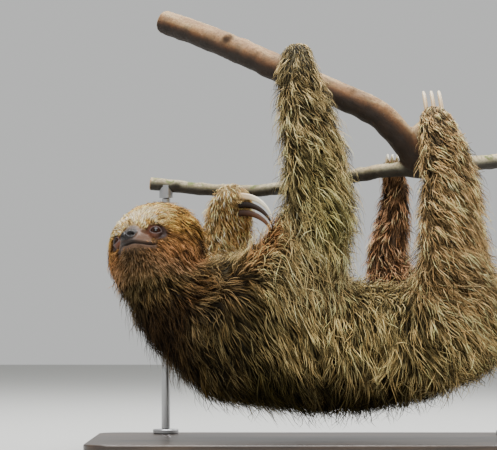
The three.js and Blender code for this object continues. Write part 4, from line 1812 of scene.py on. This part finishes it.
@dataclass
class Claws:
    """All twelve claws: elliptical sections on an arc, tapering to the tip, with fine growth lines."""

    root_half: float = 3.3
    tip_half: float = 0.45
    deep: float = 1.2
    slim: float = 0.72
    rings: int = 40
    sides: int = 20
    sets: tuple[ClawSet, ...] = (
        ClawSet("hand_right", (-42, -4, 441), (8.5, 0, -1), (0, 1, 0.1), (0, 0, -1), 22, 150),
        ClawSet(
            "hand_left",
            (-107, 44, 275),
            (0.5, -1.5, -9.5),
            (1, -0.35, 0.12),
            (0.1, -0.2, -1),
            40,
            78,
            ("claw_pale", "claw_dark", "claw_brown"),
            "claw_dark",
        ),
        ClawSet("foot_right", (109, -21, 375), (8.5, 0, 0.3), (-0.12, 0.17, 1), (0.08, 1, -0.17), 27, 180),
        ClawSet("foot_left", (66, 43, 319), (5.6, 0, 0), (0, -0.35, 1), (0, -1, -0.35), 15, 120),
    )

    def finishes(self) -> dict[str, Finish]:
        """The three horns."""
        horns = (
            HornFinish("claw_pale", srgb(252, 244, 222), srgb(206, 180, 142)),
            HornFinish("claw_dark", srgb(50, 32, 20), srgb(24, 16, 11)),
            HornFinish("claw_brown", srgb(104, 70, 48), srgb(50, 32, 22)),
        )
        return {horn.name: horn.material() for horn in horns}

    def build(self) -> list[Piece]:
        """Build every claw along its arc.

        Its centre is root + radius * (sin a * out + (1 - cos a) * bend), with a from 0 to the sweep.
        """
        materials = self.finishes()
        made = []
        for group in self.sets:
            for index in range(3):
                made.append(self.claw(group, index, materials))
        return made

    def claw(self, group: ClawSet, index: int, materials: dict[str, Finish]) -> Piece:
        """Build one claw.

        Args:
            group: The hand or foot.
            index: Which of its three claws.
            materials: The horns by name.

        Returns:
            The dressed claw.
        """
        out = unit(np.array(group.out, float))
        bend = np.array(group.bend, float)
        bend = unit(bend - out * (bend @ out))
        start = (np.array(group.root, float) + (index - 1) * np.array(group.step)) * MM
        part = np.linspace(0.0, 1.0, self.rings)[:, None]
        angle = np.radians(group.sweep) * part
        centre = start + group.radius * MM * (np.sin(angle) * out + (1 - np.cos(angle)) * bend)
        inward = -np.sin(angle) * out + np.cos(angle) * bend
        flank = np.cross(out, bend)
        half = (self.root_half + (self.tip_half - self.root_half) * part**1.35) * MM
        turn = np.linspace(0.0, 2 * np.pi, self.sides, endpoint=False)[None, :]
        keel = 1.0 + 0.12 * np.cos(turn)
        rings = (
            centre[:, None]
            + inward[:, None] * (half * self.deep * np.cos(turn) * keel)[..., None]
            + flank * (half * self.slim * np.sin(turn) * keel)[..., None]
        )
        vertices, polygons = swept(rings)
        name = f"{group.limb}_claw_{index + 1}"
        made = new_object(name + "_horn", vertices, polygons)
        lines = 0.5 + 0.5 * np.sin(turn * 5 + np.sin(turn * 3) * 1.2) + 0 * part
        paint(made, "along", np.append(np.repeat(part[:, 0], self.sides), [0.0, 1.0]))
        paint(made, "streak", np.append(lines.ravel(), [0.5, 0.5]))
        made.data.materials.append(materials[group.finishes[index]])
        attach(made, "root")
        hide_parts(name)
        return made


# ---------------------------------------------------------------- perch and stand


@dataclass
class Stem:
    """One stem of the perch: x, y, z and radius in mm, how grey its bark is, and which ends are sawn."""

    table: tuple[tuple[float, float, float, float], ...]
    grey: float
    sawn: tuple[bool, bool]


@dataclass
class Perch:
    """The forked branch: its stems joined in one distance field, with knots and sawn ends."""

    pitch: float = 1.5 * MM
    blend: float = 6.0 * MM
    margin: float = 12.0 * MM
    stems: tuple[Stem, ...] = (
        Stem(
            (
                (-193, 105, 490, 13.5),
                (-146, 62, 468, 14),
                (-94, 18, 441, 14.5),
                (-42, -4, 414, 15.2),
                (5, -8, 393.5, 14.4),
                (46, -3, 374.5, 15.4),
                (73, 4, 349, 15.2),
                (89, 12, 326, 14.5),
            ),
            0.0,
            (True, False),
        ),
        Stem(
            (
                (-210, 112, 303, 7.5),
                (-135, 106, 295, 7),
                (-80, 92, 294, 7),
                (-3, 58, 303, 7.5),
                (65, 20, 313, 8),
                (101, 18, 312, 9),
                (155, 50, 321, 8.5),
                (216, 92, 331, 8),
            ),
            1.0,
            (True, True),
        ),
        Stem(((86, 11, 333, 12), (97, 8, 354, 11), (122, 8.5, 370, 10)), 0.3, (False, True)),
    )
    knots: tuple[tuple[float, float, float, float], ...] = (
        (-118, 26, 462, 5.0),
        (18, -14, 399, 3.0),
        (-64, 78, 296, 4.0),
        (30, 38, 312, 4.0),
        (-180, 104, 302, 3.5),
    )

    def build(self) -> Piece:
        """Join the stems, cut their sawn ends flat and take the surface at 0."""
        rows = [catmull(np.array(stem.table) * MM, np.linspace(0, 1, 40)) for stem in self.stems]
        every = np.vstack(rows)
        low = every[:, :3].min(axis=0) - 0.03
        high = every[:, :3].max(axis=0) + 0.03
        shape = np.ceil((high - low) / self.pitch).astype(int) + 1
        values = np.full(shape, self.margin, np.float32)
        for stem, row in zip(self.stems, rows):
            own = np.full(shape, self.margin, np.float32)
            for start, end in zip(row[:-1], row[1:]):
                self.add_link(own, low, start, end)
            ends = ((0, row[0], row[0, :3] - row[1, :3]), (1, row[-1], row[-1, :3] - row[-2, :3]))
            for index, place, way in ends:
                if stem.sawn[index]:
                    self.saw(own, low, place, unit(way))
            values = soft_least(values, own, self.blend).astype(np.float32)
        for x, y, z, size in self.knots:
            bump = np.array([x, y, z, size]) * MM
            self.add_link(values, low, bump, bump + np.array([0.3 * MM, 0, 0, 0]), 5.0 * MM)
        grid = openvdb.FloatGrid(background=float(self.margin))
        grid.copyFromArray(values)
        points, quads = grid.convertToQuads(isovalue=0.0)
        points = points.astype(float) * self.pitch + low
        rough = waves(points, 41, 0.022)[:, :1] * 0.35 + waves(points, 42, 0.007)[:, :1] * 0.14
        source = Field(low, self.pitch, values)
        normal = source.normal(points)
        cut, ring = self.sawn_at(points)
        points = points + normal * rough * MM * (1.0 - cut[:, None])
        made = new_object("branch", points, [quads[:, ::-1].astype(np.int32)])
        self.dress(made, points, normal, cut, ring)
        return made

    def window(self, shape: tuple[int, ...], low: Array, first: Array, last: Array) -> tuple[tuple, Array]:
        """The grid's slices from one corner to another, and the places of the points in them."""
        begin = np.maximum(np.floor((first - low) / self.pitch).astype(int), 0)
        stop = np.minimum(np.ceil((last - low) / self.pitch).astype(int), shape)
        steps = [np.arange(a, b) * self.pitch + c for a, b, c in zip(begin, stop, low)]
        grid = np.stack(np.meshgrid(*steps, indexing="ij"), axis=-1)
        return tuple(slice(a, b) for a, b in zip(begin, stop)), grid

    def add_link(self, values: Array, low: Array, start: Array, end: Array, blend: float = 0.0) -> None:
        """Join one straight tapering link into a grid, in a box round it."""
        reach = max(start[3], end[3]) + self.margin
        first = np.minimum(start[:3], end[:3]) - reach
        window, grid = self.window(values.shape, low, first, np.maximum(start[:3], end[:3]) + reach)
        way = end[:3] - start[:3]
        t = np.clip(((grid - start[:3]) @ way) / (way @ way), 0.0, 1.0)
        away = np.linalg.norm(grid - (start[:3] + t[..., None] * way), axis=-1)
        distance = away - (start[3] + t * (end[3] - start[3]))
        values[window] = soft_least(values[window], distance.astype(np.float32), blend)

    def saw(self, values: Array, low: Array, place: Array, way: Array) -> None:
        """Cut a grid flat beyond a plane: the greater of distance and height over the plane."""
        reach = 2 * (place[3] + self.margin)
        window, grid = self.window(values.shape, low, place[:3] - reach, place[:3] + reach)
        height = (grid - place[:3]) @ way
        values[window] = np.maximum(values[window], height.astype(np.float32))

    def sawn_at(self, points: Array) -> tuple[Array, Array]:
        """How much each point is on a sawn end, and its distance from the pith in radii."""
        cut = np.zeros(len(points))
        ring = np.zeros(len(points))
        for stem in self.stems:
            row = np.array(stem.table) * MM
            for index, end, before in ((0, row[0], row[1]), (1, row[-1], row[-2])):
                if not stem.sawn[index]:
                    continue
                away = points - end[:3]
                out = away @ unit(end[:3] - before[:3])
                radial = np.linalg.norm(away, axis=1) / end[3]
                here = (np.abs(out) < 1.2 * MM) & (radial < 1.02)
                cut = np.where(here, 1.0, cut)
                ring = np.where(here, radial, ring)
        return cut, ring

    def dress(self, made: Piece, points: Array, normal: Array, cut: Array, ring: Array) -> None:
        """Store the bark's attributes and hand the perch to the frame."""
        nearest = np.full(len(points), np.inf)
        grey = np.zeros(len(points))
        grain = np.zeros((len(points), 3))
        for stem in self.stems:
            row = catmull(np.array(stem.table) * MM, np.linspace(0, 1, 60))
            gaps = np.linalg.norm(points[:, None] - row[None, :, :3], axis=2)
            spot_at = gaps.argmin(axis=1)
            gap = gaps.min(axis=1) - row[:, 3].mean()
            closer = gap < nearest
            grey = np.where(closer, stem.grey, grey)
            nearest = np.minimum(nearest, gap)
            way = unit(np.gradient(row[:, :3], axis=0))[spot_at]
            run = np.append(0.0, np.cumsum(np.linalg.norm(np.diff(row[:, :3], axis=0), axis=1)))[spot_at]
            off = points - row[spot_at, :3]
            ahead = dot(off, way)
            stretched = off + way * ((run + ahead) * 0.12 - ahead)[:, None]
            grain = np.where(closer[:, None], stretched, grain)
        paint(made, "grain", grain)
        # Painted shade: how much the bark faces down, for the dark shade under the branch.
        paint(made, "under", smooth(0.55, -0.3, normal[:, 2]))
        paint(made, "grey", grey)
        paint(made, "cut", cut)
        paint(made, "ring", ring)
        # How much the bark faces up, for the moss and the painted sunlit top.
        paint(made, "top", smooth(-0.1, 0.7, normal[:, 2]))
        made.data.materials.append(BarkFinish("bark", srgb(134, 84, 42), srgb(84, 52, 24)).material())
        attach(made, "root")
        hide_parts("branch_main", "branch_side_left", "branch_side_right", "branch_shoot")


@dataclass
class Stand:
    """The display stand: a rounded plate with soft edges, and two turned rods with feet and cups."""

    corner: float = 26.0
    soft: float = 2.0
    chamfer: float = 0.8
    corner_steps: int = 16
    edge_steps: int = 6
    sides: int = 64

    def build(self) -> list[Piece]:
        """Build the plate and the turned pieces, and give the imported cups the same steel."""
        made = [self.plate()]
        steel = SteelFinish().material()
        for side in ("left", "right"):
            for kind in ("foot", "rod"):
                made.append(self.turned(f"stand_{kind}_{side}", steel))
            cup = next(node for node in bpy.data.objects if node.name == f"stand_cup_{side}")
            cup.data.materials.clear()
            cup.data.materials.append(steel)
        return made

    def plate(self) -> Piece:
        """Sweep a rounded rectangle up the plate's height, drawn in by a quarter circle at each edge."""
        low, high = (np.array(corner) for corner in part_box("stand_base"))
        centre = (low + high) / 2
        size = (high - low) / 2
        corner, soft = self.corner * MM, self.soft * MM
        quarter = np.linspace(0.0, np.pi / 2, self.corner_steps)
        angle = np.concatenate([quarter + start for start in (0, np.pi / 2, np.pi, 1.5 * np.pi)])
        signs = np.repeat(np.array([[1, 1], [-1, 1], [-1, -1], [1, -1]]), self.corner_steps, axis=0)
        bend = np.linspace(0.0, np.pi / 2, self.edge_steps)
        insets = np.concatenate([1 - np.sin(bend), 1 - np.cos(bend)]) * soft
        heights = np.concatenate([low[2] + (1 - np.cos(bend)) * soft, high[2] - (1 - np.sin(bend)) * soft])
        rings = []
        for inset, height in zip(insets, heights):
            radius = corner - inset
            x = centre[0] + signs[:, 0] * (size[0] - corner) + radius * np.cos(angle)
            y = centre[1] + signs[:, 1] * (size[1] - corner) + radius * np.sin(angle)
            rings.append(np.stack([x, y, np.full(len(x), height)], axis=1))
        vertices, polygons = swept(np.array(rings))
        made = new_object("base_plate", vertices, polygons, shade_smooth=False)
        made.data.materials.append(PlateFinish().material())
        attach(made, "root")
        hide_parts("stand_base")
        return made

    def turned(self, node: str, steel: Finish) -> Piece:
        """Turn a round bar that fills a node's box, its edges broken by a small chamfer."""
        low, high = (np.array(corner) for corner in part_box(node))
        centre = (low + high) / 2
        radius = (high[0] - low[0]) / 2
        edge = min(self.chamfer * MM, radius * 0.2)
        slim, foot, top = radius - edge, low[2], high[2]
        profile = np.array([(slim, foot), (radius, foot + edge), (radius, top - edge), (slim, top)])
        turn = np.linspace(0.0, 2 * np.pi, self.sides, endpoint=False)
        rings = np.stack(
            [
                centre[0] + profile[:, :1] * np.cos(turn),
                centre[1] + profile[:, :1] * np.sin(turn),
                profile[:, 1:] + 0 * turn,
            ],
            axis=-1,
        )
        vertices, polygons = swept(rings)
        made = new_object(node + "_turned", vertices, polygons, shade_smooth=False)
        made.data.materials.append(steel)
        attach(made, "root")
        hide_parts(node)
        return made


# ---------------------------------------------------------------- studio


@dataclass
class Studio:
    """Floor, lights and camera."""

    camera_at: Place = (-0.096015, -2.6, 0.136481)
    camera_pitch: float = 2.5
    lens: float = 169.83
    floor_half: float = 6.0

    def build(self) -> None:
        """Lay the floor, hang the lights and set the camera."""
        self.floor()
        self.world()
        self.light("key", (-0.1, -1.4, 1.9), (40, 0, -2), 0.8, 45.0, (1.0, 0.98, 0.94))
        self.light("sky", (0.0, 0.5, 2.3), (-12, 0, 0), 1.3, 104.0, (0.98, 0.99, 1.0))
        self.light("rim", (1.4, 1.3, 1.3), (62, 0, 135), 1.0, 18.0, (1.0, 1.0, 0.97))
        camera = bpy.data.cameras.new("camera")
        camera.lens = self.lens
        camera.sensor_width = 36.0
        made = bpy.data.objects.new("camera", camera)
        made.location = self.camera_at
        made.rotation_euler = Euler((np.radians(90.0 + self.camera_pitch), 0.0, 0.0))
        bpy.context.scene.collection.objects.link(made)
        bpy.context.scene.camera = made

    def floor(self) -> None:
        """Lay a wide flat floor at height 0."""
        half = self.floor_half
        corners = np.array([(-half, -half, 0.0), (half, -half, 0.0), (half, half, 0.0), (-half, half, 0.0)])
        made = new_object("floor", corners, [np.array([[0, 1, 2, 3]])])
        made.data.materials.append(FloorFinish().material())

    def world(self) -> None:
        """Fill the studio with even pale light."""
        world = bpy.data.worlds.new("studio")
        world.use_nodes = True
        background = world.node_tree.nodes["Background"]
        background.inputs["Color"].default_value = (0.95, 0.96, 0.95, 1.0)
        background.inputs["Strength"].default_value = 0.64
        bpy.context.scene.world = world

    def light(
        self,
        name: str,
        at: Place,
        turn: Place,
        size: float,
        power: float,
        colour: Colour,
    ) -> None:
        """Hang one soft square light.

        Args:
            name: Its name.
            at: Its place.
            turn: Its rotation in degrees.
            size: The length of its side.
            power: Its power in watts.
            colour: Its colour.
        """
        lamp = bpy.data.lights.new(name, "AREA")
        lamp.size = size
        lamp.energy = power
        lamp.color = colour
        made = bpy.data.objects.new(name, lamp)
        made.location = at
        made.rotation_euler = Euler(np.radians(turn))
        bpy.context.scene.collection.objects.link(made)


def main() -> None:
    """Build the model in order and report each piece."""
    logging.basicConfig(level=logging.INFO, format="%(name)s: %(message)s")
    body, face, markings = Body(), Face(), Markings()
    skin = Skin(body, face, markings)
    flesh = skin.build()
    skin.dress(flesh)
    LOG.info("skin: %d vertices", len(flesh.data.vertices))
    pieces = [
        *Coat(body, face, markings, flesh).build(),
        *Eyes(body.head, face).build(),
        *Claws().build(),
        Perch().build(),
        *Stand().build(),
    ]
    for piece in pieces:
        piece.data.calc_loop_triangles()
        LOG.info("%s: %d triangles", piece.name, len(piece.data.loop_triangles))
    Studio().build()


if __name__ == "__main__":
    main()
